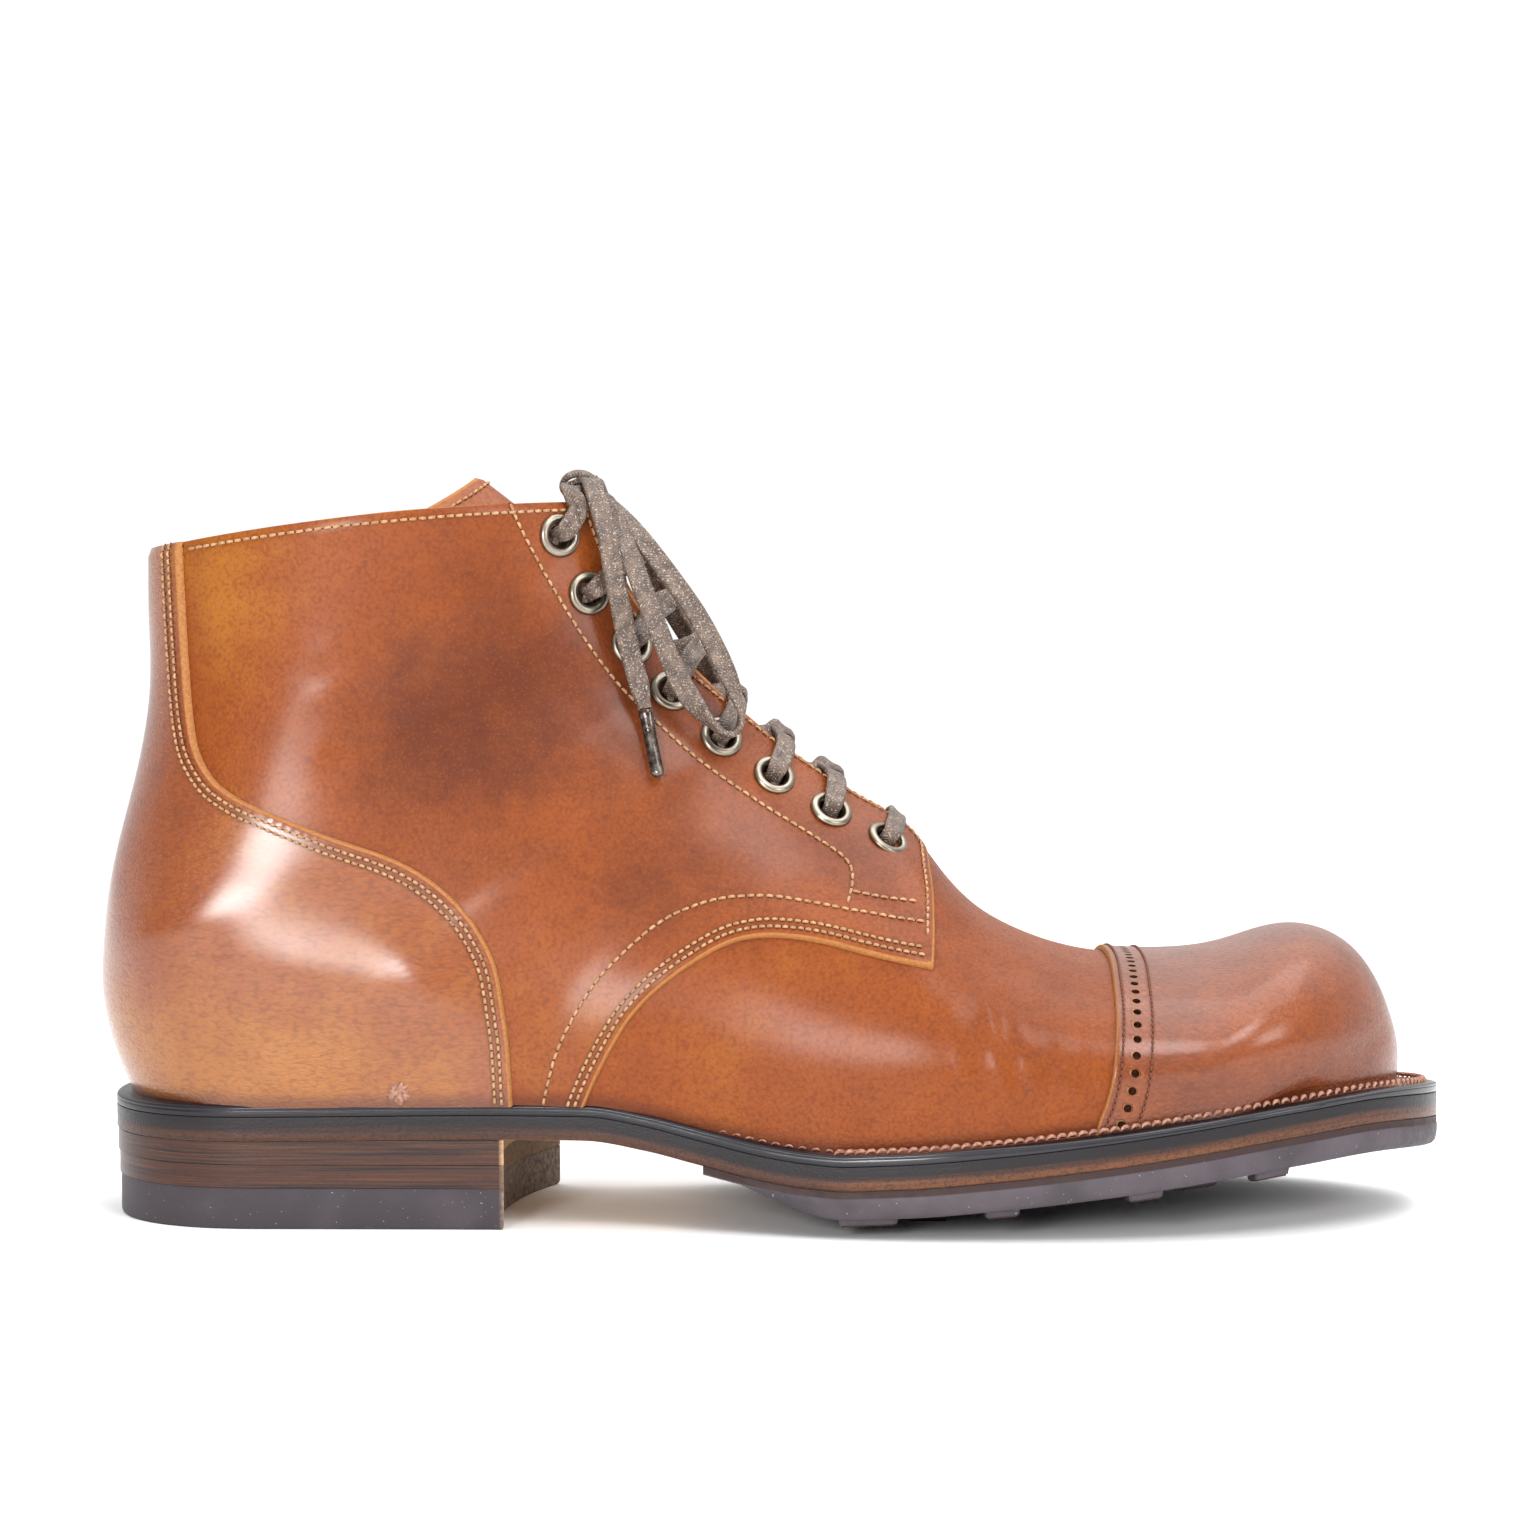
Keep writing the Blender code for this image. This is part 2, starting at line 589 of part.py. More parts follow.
def halves(shares, feather=False, inset=0.0):
    return [outline(side, shares, feather, inset) for side in ("outer", "inner")]


def side_share(x):
    """Where on a half outline the side has this x."""
    return TOE_SHARE + (HEEL_SHARE - TOE_SHARE) * (BALL - x) / (BALL - HEEL_CURVE_END)


def below(depth):
    """A height function that lies this far under the top of the welt."""
    return lambda x, y: sole_z(x, y) - depth


def level(z):
    return lambda x, y: z


def rubber_under(x, y):
    """Underside of the rubber half sole, which thins out towards the waist."""
    grown = np.clip((x - RUBBER_START) / RUBBER_TAPER, 0, 1)
    thick = RUBBER_EDGE + (RUBBER - RUBBER_EDGE) * grown * grown * (3 - 2 * grown)
    return sole_z(x, y) - WELT - MIDSOLE - thick


def lugs():
    """Tread blocks under the half sole, each flat where it meets the floor."""
    blocks = bmesh.new()
    for x, edge, long, wide, side in zip(*(LUGS[key] for key in LUGS)):
        line = outline(side, SHARES)[::-1]
        half = abs(np.interp(x, line[:, 0], line[:, 1]))
        sign = -1 if side == "outer" else 1
        middle = sign * (half - edge - wide / 2)
        standing = rubber_under(x, middle) - LUG < LUG_TO_FLOOR
        made = bmesh.ops.create_cube(blocks, size=1)
        for vertex in made["verts"]:
            draft = 1.0 if vertex.co.z > 0 else LUG_DRAFT
            px = x + vertex.co.x * long * draft
            py = middle + vertex.co.y * wide * draft
            surface = float(rubber_under(px, py))
            foot = 0.0 if standing else surface - LUG
            pz = surface + LUG_ROOT if vertex.co.z > 0 else foot
            vertex.co = world((px, py, pz))
    mesh = bpy.data.meshes.new("lugs")
    blocks.to_mesh(mesh)
    blocks.free()
    return mesh


def row_at(ridge):
    """The section row whose middle point lies this far along the ridge."""
    return float(np.interp(ridge, SECTIONS["ridge"], np.arange(len(SECTIONS["name"]))))


def ridge_frame(ridge):
    """Forward-down and inward directions of the middle line, in the plane of the boot."""
    last = SECTIONS["ridge"][-1]
    at = min(ridge, last)
    step = ridge_point(at) - ridge_point(at - 2)
    up = np.array([step[0], 0, step[2]]) / math.hypot(step[0], step[2])
    inward = np.array([-up[2], 0, up[0]])
    return up, inward, max(ridge - last, 0)


def tongue_surface():
    """The tongue follows the last under the throat and leans back at the top."""
    ridges = np.linspace(TONGUE["ridge"][0], TONGUE["ridge"][-1], TONGUE_ROWS + 1)
    points = []
    for ridge in ridges:
        half = float(smooth(TONGUE["ridge"], TONGUE["half"], ridge))
        depth = float(smooth(TONGUE["ridge"], TONGUE["depth"], ridge))
        up, inward, above = ridge_frame(ridge)
        row = row_at(min(ridge, SECTIONS["ridge"][-1]))
        line = np.vstack([arch(row, "outer")[::-1], arch(row, "inner")[1:]])
        middle = ridge_point(min(ridge, SECTIONS["ridge"][-1]))
        first, last = np.searchsorted(line[:, 1], (middle[1] - half, middle[1] + half))
        cut = spaced(line[first:last], np.linspace(0, 1, TONGUE_COLUMNS + 1))
        across = np.abs(cut[:, 1:2] - middle[1]) / half
        drop = TONGUE_CORNER * across ** TONGUE_POINT * above / (ridges[-1] - SECTIONS["ridge"][-1])
        points.extend(cut + inward * depth + up * (above - drop))
    mesh = mesh_from("tongue", points, grid_faces(len(ridges), TONGUE_COLUMNS + 1))
    turn_outwards(mesh)
    return mesh


def facing_point(side, ridge, inset, lift=0.0):
    """A point on a facing, with its normal: inset from the edge, lift off the leather."""
    def on_surface(at, away):
        line = half_section(row_at(at), side, FACING_STEPS)
        length = np.concatenate([[0], np.cumsum(np.linalg.norm(np.diff(line, axis=0), axis=1))])
        return np.array([np.interp(away, length, line[:, k]) for k in range(3)])
    here = on_surface(ridge, inset)
    along = on_surface(ridge + 1, inset) - on_surface(ridge - 1, inset)
    out = on_surface(ridge, inset + 1) - on_surface(ridge, max(inset - 1, 0))
    normal = np.cross(along, out)
    normal /= np.linalg.norm(normal)
    if normal[0] + normal[2] < 0:
        normal = -normal
    return here + normal * lift, normal


def eyelet_places(side):
    """Every eyelet on one side: its point on the leather and the normal there."""
    return [facing_point(side, *place) for place in zip(EYELETS["ridge"], EYELETS["inset"])]


def eyelet_mesh():
    """Half a section of a rolled eyelet: a round flange on the leather and a barrel through it."""
    barrel = EYELET_HOLE + EYELET_METAL
    profile = (
        (EYELET_HOLE, -WALL - GAP),
        (EYELET_HOLE + EYELET_LIP, GAP + EYELET_FLANGE),
        (EYELET_RADIUS - EYELET_ROLL[0], GAP + EYELET_FLANGE * EYELET_ROLL[1]),
        (EYELET_RADIUS, GAP),
        (barrel, GAP),
        (barrel, -WALL - GAP),
    )
    shape = bmesh.new()
    ring_points = [shape.verts.new((r * MM, 0, z * MM)) for r, z in profile]
    for a, b in zip(ring_points, ring_points[1:] + ring_points[:1]):
        shape.edges.new((a, b))
    bmesh.ops.spin(shape, geom=shape.edges[:] + shape.verts[:], axis=(0, 0, 1), cent=(0, 0, 0),
                   angle=2 * math.pi, steps=EYELET_SIDES, use_merge=True)
    bmesh.ops.remove_doubles(shape, verts=shape.verts, dist=MERGE)
    bmesh.ops.recalc_face_normals(shape, faces=shape.faces)
    mesh = bpy.data.meshes.new("eyelet")
    shape.to_mesh(mesh)
    shape.free()
    mesh.shade_smooth()
    return mesh


def stand_on(point, normal):
    """Place on the leather with its own z along the normal."""
    turn = Vector(normal).to_track_quat("Z", "Y").to_matrix().to_4x4()
    return Matrix.Translation(world(point)) @ turn


def strap_mesh(name, path, normals):
    """A flat lace along a path, lying square to the given normals."""
    path, normals = np.array(path), np.array(normals)
    steps = np.gradient(path, axis=0)
    points, faces = [], []
    section = ((-1, 1), (1, 1), (1, -1), (-1, -1))
    for here, step, normal in zip(path, steps, normals):
        across = np.cross(step, normal)
        across /= np.linalg.norm(across)
        lift = np.cross(across, step)
        lift /= np.linalg.norm(lift)
        for wide, thick in section:
            points.append(here + across * wide * LACE_WIDTH / 2 + lift * thick * LACE_THICK / 2)
    count = len(section)
    for i in range(len(path) - 1):
        for k in range(count):
            after = (k + 1) % count
            faces.append((i * count + k, i * count + after, (i + 1) * count + after,
                          (i + 1) * count + k))
    faces.append(tuple(range(count)))
    faces.append(tuple(range(len(points) - count, len(points))))
    return mesh_from(name, points, faces)


def smooth_path(points, count):
    """A smooth curve through hand-placed points, evenly spaced."""
    points = np.asarray(points, float)
    chord = np.concatenate([[0], np.cumsum(np.linalg.norm(np.diff(points, axis=0), axis=1))])
    ends = np.vstack([2 * points[0] - points[1], points, 2 * points[-1] - points[-2]])
    fine = []
    for i in range(len(points) - 1):
        a, b, c, d = ends[i:i + 4]
        for u in np.linspace(0, 1, PATH_STEPS, endpoint=False):
            fine.append(0.5 * (2 * b + (c - a) * u + (2 * a - 5 * b + 4 * c - d) * u ** 2
                               + (3 * b - a - 3 * c + d) * u ** 3))
    fine.append(points[-1])
    return spaced(np.array(fine), np.linspace(0, 1, count))


def crossing(index):
    """One crossing: from both eyelets over the facings' edges to the far side of the gap."""
    high, low = EYELETS["ridge"][index:index + 2]
    strands = []
    at = {name: low + (high - low) * climb for name, climb in CLIMB.items()}
    raised = LACE_THICK * LACE_OVERLAP
    for side, other, rise in (("outer", "inner", 0.0), ("inner", "outer", raised)):
        start, normal = facing_point(side, low, EYELETS["inset"][index + 1], LACE_CLEAR)
        off, _ = facing_point(side, at["shoulder"], LACE_SHOULDER, LACE_CLEAR)
        over, _ = facing_point(side, at["edge"], 0.0, LACE_EDGE_CLEAR + rise)
        end, _ = facing_point(other, at["far"], 0.0)
        centre = ridge_point(at["middle"])
        inward = ridge_frame(low)[1]
        far = centre + (end - centre) * LACE_FAR + inward * LACE_SINK
        middle = centre + inward * (LACE_DIP - rise)
        path = smooth_path([start, off, over, middle, far], LACE_POINTS)
        share = np.linspace(0, 1, LACE_POINTS)[:, None]
        strands.append((path, normal * (1 - share) - inward * share))
    return strands


def bar():
    """The lace across the throat between the two lowest eyelets."""
    ridge, inset = EYELETS["ridge"][-1], EYELETS["inset"][-1]
    half, normals = {}, {}
    for side in ("outer", "inner"):
        eye, normals[side] = facing_point(side, ridge, inset, LACE_CLEAR)
        off, _ = facing_point(side, ridge, LACE_SHOULDER, LACE_CLEAR)
        edge, _ = facing_point(side, ridge, 0.0, LACE_EDGE_CLEAR)
        half[side] = [eye, off, edge]
    centre = ridge_point(ridge) - ridge_frame(ridge)[1] * LACE_EDGE_CLEAR
    path = smooth_path(half["outer"] + [centre] + half["inner"][::-1], LACE_POINTS + 2)
    share = np.linspace(0, 1, LACE_POINTS + 2)[:, None]
    return path, normals["outer"] * (1 - share) + normals["inner"] * share


def top_strand(side):
    """The lace from a top eyelet over the front of the collar to the knot."""
    mirror = np.array((1, -1 if side == "outer" else 1, 1))
    eye, normal = facing_point(side, EYELETS["ridge"][0], EYELETS["inset"][0], LACE_CLEAR)
    rim, _ = facing_point(side, *TOP_STRAND["rim"], LACE_EDGE_CLEAR)
    over, end = (np.array(TOP_STRAND[name]) * mirror for name in ("over", "end"))
    path = smooth_path([eye, rim, over, end], LACE_POINTS)
    share = np.linspace(0, 1, LACE_POINTS)[:, None]
    return path, normal * (1 - share) + np.array(TOP_STRAND["lies"]) * mirror * share


def cord(name, route, radius, finish, collection):
    """A round cord along a route, as a plain tube."""
    path = smooth_path(route, max(CORD_LEAST, int(CORD_POINTS * len(route))))
    curve = bpy.data.curves.new(name, "CURVE")
    curve.dimensions = "3D"
    curve.bevel_depth = radius * MM
    curve.bevel_resolution = 2
    curve.use_fill_caps = True
    spline = curve.splines.new("POLY")
    spline.points.add(len(path) - 1)
    for point, place in zip(spline.points, path):
        point.co = (*world(place), 1)
    made = bpy.data.objects.new(name, curve)
    curve.materials.append(finish)
    collection.objects.link(made)
    return made


def main():
    for old in list(bpy.data.objects):
        bpy.data.objects.remove(old)
    parts = bpy.data.collections.new("service_boot")
    cutters = bpy.data.collections.new("cutters")
    for collection in (parts, cutters):
        bpy.context.scene.collection.children.link(collection)
    tan = material("tan_leather", TAN, 0.35)
    lining = material("lining_leather", LINING, 0.6)
    edge = material("dark_edge", DARK_EDGE, 0.4)
    stack = material("stacked_leather", STACK, 0.4)
    rubber = material("rubber", RUBBER_GREY, 0.7)
    brass = material("antique_brass", BRASS, 0.35, 1.0)
    lace = material("waxed_lace", LACE, 0.6)
    make_sole(parts, cutters, edge, stack, rubber, lining)
    make_upper(parts, cutters, tan)
    make_eyelets(parts, brass)
    make_laces(parts, cutters, lace, brass)


def make_sole(parts, cutters, edge, stack, rubber, lining):
    rows = np.linspace(0, 1, SOLE_ROWS + 1)
    mesh = ring("welt", halves(rows), halves(rows, True, WELT_INSIDE), below(0), below(WELT))
    add_object("welt", mesh, edge, parts)
    insole = halves(rows, True, INSOLE_INSET)
    mesh = plate("insole", insole, below(WELT - INSOLE), below(WELT - 2 * GAP), PLATE_COLUMNS)
    add_object("insole", mesh, lining, parts)
    under_welt = below(WELT + 2 * GAP)
    mesh = plate("midsole", halves(rows), under_welt, below(WELT + MIDSOLE), PLATE_COLUMNS)
    add_object("midsole", mesh, stack, parts)
    front = np.linspace(0, side_share(RUBBER_START), SOLE_ROWS)
    top = below(WELT + MIDSOLE + GAP)
    mesh = plate("outsole", halves(front), top, rubber_under, PLATE_COLUMNS + 1)
    outsole = add_object("outsole", mesh, rubber, parts)
    blocks = helper(add_object("lugs", lugs(), None, cutters))
    boolean(outsole, blocks, "UNION")
    seat = WELT + MIDSOLE
    floor = float(sole_z(HEEL_CURVE_END, 0)) - seat
    step = (floor - TOP_LIFT) / LIFTS
    for index in range(LIFTS):
        top = below(seat + GAP) if index == 0 else level(floor - index * step - GAP)
        bottom = level(floor - (index + 1) * step)
        sides = heel_sides(HEEL_TAPER * (index + 1))
        mesh = plate(f"heel_lift_{index + 1}", sides, top, bottom, HEEL_COLUMNS, BREAST_HOLLOW)
        add_object(f"heel_lift_{index + 1}", mesh, stack, parts)
    sides = heel_sides(HEEL_TAPER * (LIFTS + 1))
    top = level(TOP_LIFT - GAP)
    mesh = plate("heel_top_lift", sides, top, level(0), HEEL_COLUMNS, BREAST_HOLLOW)
    add_object("heel_top_lift", mesh, rubber, parts)


def heel_sides(inset):
    """Half outlines of the heel, from its breast to its back."""
    found = []
    for side, breast in (("outer", BREAST_OUTER), ("inner", BREAST_INNER)):
        rows = np.linspace(side_share(breast), 1, HEEL_ROWS + 1)
        found.append(outline(side, rows, False, inset))
    return found


def make_upper(parts, cutters, tan):
    last = len(SECTIONS["name"]) - 1
    upper = add_object("upper", upper_surface("upper", 0, last), tan, parts)
    solidify(upper, WALL)
    trim = trimmer("welt_trim", GAP, cutters)
    boolean(upper, trim, "DIFFERENCE")
    holes = helper(add_object("eyelet_holes", eyelet_holes(), None, cutters))
    boolean(upper, holes, "DIFFERENCE")
    mesh = upper_surface("toe_cap", 0, CAP_LAST_SECTION, OVERLAY_LIFT)
    cap = add_object("toe_cap", mesh, tan, parts)
    solidify(cap, OVERLAY, 1.0)
    boolean(cap, trim, "DIFFERENCE")
    mesh = upper_surface("heel_counter", COUNTER_FIRST_SECTION, last, OVERLAY_LIFT)
    counter = add_object("heel_counter", mesh, tan, parts)
    solidify(counter, OVERLAY, 1.0)
    boolean(counter, trim, "DIFFERENCE")
    boolean(counter, counter_outline(cutters), "INTERSECT")
    tongue = add_object("tongue", tongue_surface(), tan, parts)
    solidify(tongue, TONGUE_THICK)


def eyelet_holes():
    """Round cutters through both facings, a little wider than the eyelets' barrels."""
    holes = bmesh.new()
    radius = (EYELET_HOLE + EYELET_METAL + GAP) * MM
    for side in ("outer", "inner"):
        for place in eyelet_places(side):
            bmesh.ops.create_cone(holes, cap_ends=True, segments=EYELET_SIDES, radius1=radius,
                                  radius2=radius, depth=EYELET_CUT * MM, matrix=stand_on(*place))
    mesh = bpy.data.meshes.new("eyelet_holes")
    holes.to_mesh(mesh)
    holes.free()
    return mesh


def trimmer(name, gap, cutters):
    """Everything from the top of the welt down, wider than the boot."""
    sides = halves(np.linspace(0, 1, SOLE_ROWS + 1), False, -TRIM_REACH)
    mesh = plate(name, sides, below(-gap), level(-TRIM_REACH), TRIM_COLUMNS)
    return helper(add_object(name, mesh, None, cutters))


def counter_outline(cutters):
    """The counter's side outline, drawn through the whole width of the boot."""
    z = np.linspace(COUNTER_EDGE["z"][0], COUNTER_EDGE["z"][-1], COUNTER_STEPS)
    x = smooth(COUNTER_EDGE["z"], COUNTER_EDGE["x"], z)
    behind, aside = COUNTER_PAST
    line = [(behind, z[0]), *zip(x, z), (behind, z[-1])]
    points = [(px, y, pz) for y in (-aside, aside) for px, pz in line]
    count = len(line)
    faces = [tuple(range(count)), tuple(range(count, 2 * count))]
    for k in range(count):
        after = (k + 1) % count
        faces.append((k, after, count + after, count + k))
    return helper(add_object("counter_outline", mesh_from("counter_outline", points, faces), None,
                             cutters))


def make_eyelets(parts, brass):
    shape = eyelet_mesh()
    shape.materials.append(brass)
    for side in ("outer", "inner"):
        for index, place in enumerate(eyelet_places(side)):
            made = add_object(f"eyelet_{side}_{index + 1}", shape, None, parts)
            made.matrix_world = stand_on(*place)


def make_laces(parts, cutters, lace, brass):
    for index in range(len(EYELETS["ridge"]) - 2):
        name = f"lace_crossing_{index + 1}"
        under, over = (strap_mesh(name, *strand) for strand in crossing(index))
        joined = add_object(name, under, lace, parts)
        other = helper(add_object(f"{name}_strand", over, None, cutters))
        boolean(joined, other, "UNION")
    add_object("lace_bar", strap_mesh("lace_bar", *bar()), lace, parts)
    for side in ("outer", "inner"):
        name = f"lace_top_{side}"
        add_object(name, strap_mesh(name, *top_strand(side)), lace, parts)
    add_object("lace_knot", knot_mesh(), lace, parts)
    for name, route in BOW.items():
        cord(name, route, CORD_RADIUS, lace, parts)
    for name, route in AGLETS.items():
        cord(name, route, AGLET_RADIUS, brass, parts)


def knot_mesh():
    """A plain rounded knot."""
    ball = bmesh.new()
    bmesh.ops.create_uvsphere(ball, u_segments=KNOT["segments"], v_segments=KNOT["rings"], radius=1)
    centre, half = np.array(KNOT["centre"]), np.array(KNOT["half"])
    for vertex in ball.verts:
        vertex.co = world(centre + np.array(vertex.co) * half)
    mesh = bpy.data.meshes.new("lace_knot")
    ball.to_mesh(mesh)
    ball.free()
    mesh.shade_smooth()
    return mesh


main()
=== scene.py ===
import math

import bmesh
import bpy
import numpy as np
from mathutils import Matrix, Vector


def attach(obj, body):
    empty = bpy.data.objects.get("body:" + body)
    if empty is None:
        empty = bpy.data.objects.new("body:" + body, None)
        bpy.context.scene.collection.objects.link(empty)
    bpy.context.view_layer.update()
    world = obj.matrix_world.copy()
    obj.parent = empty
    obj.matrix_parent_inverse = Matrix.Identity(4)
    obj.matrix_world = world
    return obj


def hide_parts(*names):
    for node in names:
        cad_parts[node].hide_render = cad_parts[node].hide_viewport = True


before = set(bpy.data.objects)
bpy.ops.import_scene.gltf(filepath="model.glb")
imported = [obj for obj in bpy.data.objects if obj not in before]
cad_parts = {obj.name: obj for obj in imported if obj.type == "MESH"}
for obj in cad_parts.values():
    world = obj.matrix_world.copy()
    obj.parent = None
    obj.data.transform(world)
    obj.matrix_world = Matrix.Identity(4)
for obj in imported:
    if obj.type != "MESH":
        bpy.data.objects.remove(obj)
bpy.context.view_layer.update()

CAMERA = {"place": (-0.0003, -0.900, 0.1486), "tilt": 3.08, "lens": 92.8, "sensor": 36.0}
LIGHTS = {
    "name": ("left_softbox", "right_softbox", "front_softbox", "top_softbox"),
    "place": ((-0.46, -1.4, 0.41), (1.05, -0.9, 0.62), (0.34, -0.7, 1.02), (0.3, 0.1, 1.4)),
    "size": (0.34, 0.45, 0.42, 1.2),
    "watts": (12.0, 5.5, 5.5, 10.0),
}
AIM = Vector((0, 0, 0.06))  # the softboxes point here
ROOM = {"front": 0.28, "mirrored": 0.15, "back": 0.82, "overhead": 1.05, "backdrop": 1.03,
        "wall": (-0.25, 0.4), "ceiling": (0.25, 1.0)}
scene = bpy.context.scene
scene.view_settings.view_transform = "Standard"


def show(name, data):
    """A new object in the scene."""
    made = bpy.data.objects.new(name, data)
    scene.collection.objects.link(made)
    return made


camera = show("camera", bpy.data.cameras.new("camera"))
camera.data.lens = CAMERA["lens"]
camera.data.sensor_width = CAMERA["sensor"]
camera.location = CAMERA["place"]
camera.rotation_euler = (math.radians(90 - CAMERA["tilt"]), 0, 0)
scene.camera = camera
for name, spot, size, watts in zip(*LIGHTS.values()):
    lamp = show(name, bpy.data.lights.new(name, "AREA"))
    lamp.data.size = size
    lamp.data.energy = watts
    lamp.location = spot
    lamp.rotation_euler = (AIM - Vector(spot)).to_track_quat("-Z", "Y").to_euler()
scene.world = bpy.data.worlds.new("white_room")
scene.world.use_nodes = True


class Socket:
    """A shader socket that does arithmetic: operators add Math nodes, and node() adds any other."""

    def __init__(self, tree, socket):
        self.tree, self.socket = tree, socket

    def node(self, kind, settings=None, inputs=None, output=0):
        """Any node: its settings first, then values or links for its sockets, by name or number."""
        made = self.tree.nodes.new(kind)
        for key, value in (settings or {}).items():
            setattr(made, key, value)
        for key, value in (inputs or {}).items():
            if isinstance(value, Socket):
                self.tree.links.new(value.socket, made.inputs[key])
            else:
                made.inputs[key].default_value = value
        return Socket(self.tree, made.outputs[output])

    def math(self, operation, *values):
        return self.node("ShaderNodeMath", {"operation": operation}, dict(enumerate(values)))

    def __add__(self, other):
        return self.math("ADD", self, other)

    def __sub__(self, other):
        return self.math("SUBTRACT", self, other)

    def __rsub__(self, other):
        return self.math("SUBTRACT", other, self)

    def __mul__(self, other):
        return self.math("MULTIPLY", self, other)

    __radd__, __rmul__ = __add__, __mul__

    def attribute(self, name):
        """One of the piece's own fields."""
        return self.node("ShaderNodeAttribute", {"attribute_name": name}, output=2)

    def ramp(self, low, high):
        """0 up to low, 1 from high, smooth between."""
        return self.node("ShaderNodeMapRange", {"interpolation_type": "SMOOTHSTEP"},
                         {0: self, 1: low, 2: high})

    def tint(self, first, second):
        """From the first colour to the second as this value goes from 0 to 1."""
        return self.node("ShaderNodeMix", {"data_type": "RGBA"}, {0: self, 6: first, 7: second}, 2)

    def stretched(self, stretch):
        return self.node("ShaderNodeVectorMath", {"operation": "MULTIPLY"}, {0: self, 1: stretch})

    def noise(self, scale, detail=2.0, rough=0.5, stretch=(1, 1, 1)):
        """Noise on this vector, at a scale in cells a metre, drawn out by stretch."""
        inputs = {"Vector": self.stretched(stretch), "Scale": scale, "Detail": detail, "Roughness": rough}
        return self.node("ShaderNodeTexNoise", {}, inputs)

    def cells(self, scale, feature="F1", stretch=(1, 1, 1)):
        """Distance to the nearest of scattered points, at a scale in cells a metre."""
        inputs = {"Vector": self.stretched(stretch), "Scale": scale}
        return self.node("ShaderNodeTexVoronoi", {"feature": feature}, inputs)

    def bump(self, height, normal=None):
        """Bump by this value times a height in metres."""
        inputs = {"Height": self, "Distance": height}
        if normal:
            inputs["Normal"] = normal
        return self.node("ShaderNodeBump", {}, inputs)


def finish(name, **constants):
    """A new Principled material: its name, its constant sockets, and a start for its nodes."""
    made = bpy.data.materials.new(name)
    made.use_nodes = True
    shader = made.node_tree.nodes["Principled BSDF"]
    for key, value in constants.items():
        shader.inputs[key.replace("_", " ")].default_value = value
    start = made.node_tree.nodes.new("ShaderNodeTexCoord")
    return made, shader, Socket(made.node_tree, start.outputs["Object"])


def feed(shader, **values):
    """Links what changes over a surface to a shader's sockets."""
    for name, value in values.items():
        value.tree.links.new(value.socket, shader.inputs[name.replace("_", " ")])


background = scene.world.node_tree.nodes["Background"]
background.inputs["Color"].default_value = (1, 1, 1, 1)
room = Socket(scene.world.node_tree, None)
way = room.node("ShaderNodeTexCoord", output="Generated")
behind, above = (room.node("ShaderNodeSeparateXYZ", {}, {0: way}, k) for k in (1, 2))
seen = room.node("ShaderNodeLightPath", output="Is Camera Ray")
mirrored = room.node("ShaderNodeLightPath", output="Is Glossy Ray")
front = mirrored * (ROOM["mirrored"] - ROOM["front"]) + ROOM["front"]
wall = behind.ramp(*ROOM["wall"])
glow = wall * ROOM["back"] + (1 - wall) * front + above.ramp(*ROOM["ceiling"]) * ROOM["overhead"]
feed(background, Strength=seen * ROOM["backdrop"] + (1 - seen) * glow)
FLOOR_WHITE, FLOOR_HALF = (0.97, 0.97, 0.97, 1), 6.0
floor_paint, shader, at = finish("floor_paint", Base_Color=FLOOR_WHITE, Specular_IOR_Level=0.1)
feed(shader, Roughness=at.noise(4.0).ramp(0.2, 0.8) * 0.1 + 0.8)
floor = show("floor", bpy.data.meshes.new("floor"))
corners = [(-1, -1), (1, -1), (1, 1), (-1, 1)]
floor.data.from_pydata([(x * FLOOR_HALF, y * FLOOR_HALF, 0) for x, y in corners], [], [(0, 1, 2, 3)])
floor.data.materials.append(floor_paint)

# The last. Every leather piece takes its shape from this one surface, the form that the upper is
# pulled over: sections from the toe over the instep and round the heel, in millimetres, with x from
# the back of the heel, y from the outer side (negative) to the inner side, z from the floor.
LENGTH = 305.0
SIGN = {"outer": -1, "inner": 1}  # the two sides, and which way y goes on each
SIDES = {  # half widths of the sole between the heel curve and the ball
    "x": (40, 70, 95, 115, 135, 155, 175, 195, 218),
    "outer": (34, 34.4, 35, 36.6, 40.2, 45.4, 49.8, 52.2, 53),
    "inner": (34, 33.6, 32, 30.8, 31.8, 36, 42.6, 48.8, 53),
}
SOLE_BACK, SOLE_TIP, HEEL_CURVE_END, BALL = 4.0, LENGTH, 40.0, 218.0
TOE_SHARE, HEEL_SHARE, TOE_ROUND, HEEL_ROUND = 0.36, 0.86, 2.15, 2.2
TIP_SWING, SWING_FROM = 4.0, 120.0
FEATHER_BACK, FEATHER_TIP, TOE_FAN, HEEL_ARC = 9.0, 294.9, 240.0, 50.0
MARGIN = {"x": (40, 95, 135, 175, 218), "mm": (3.2, 3.0, 3.2, 4.4, 5.2)}  # welt outside the upper
SOLE_LINE = {  # top of the welt along the middle
    "x": (4, 40, 95, 112, 125, 137, 150, 160, 170, 181, 203, 225, 247, 268, 288, 305),
    "z": (27.8, 28, 28.5, 28.1, 25.8, 22.6, 19.2, 17.3, 16.3, 16.3, 17.2, 18.9, 21.2, 24.4, 27.8, 29.4),
}
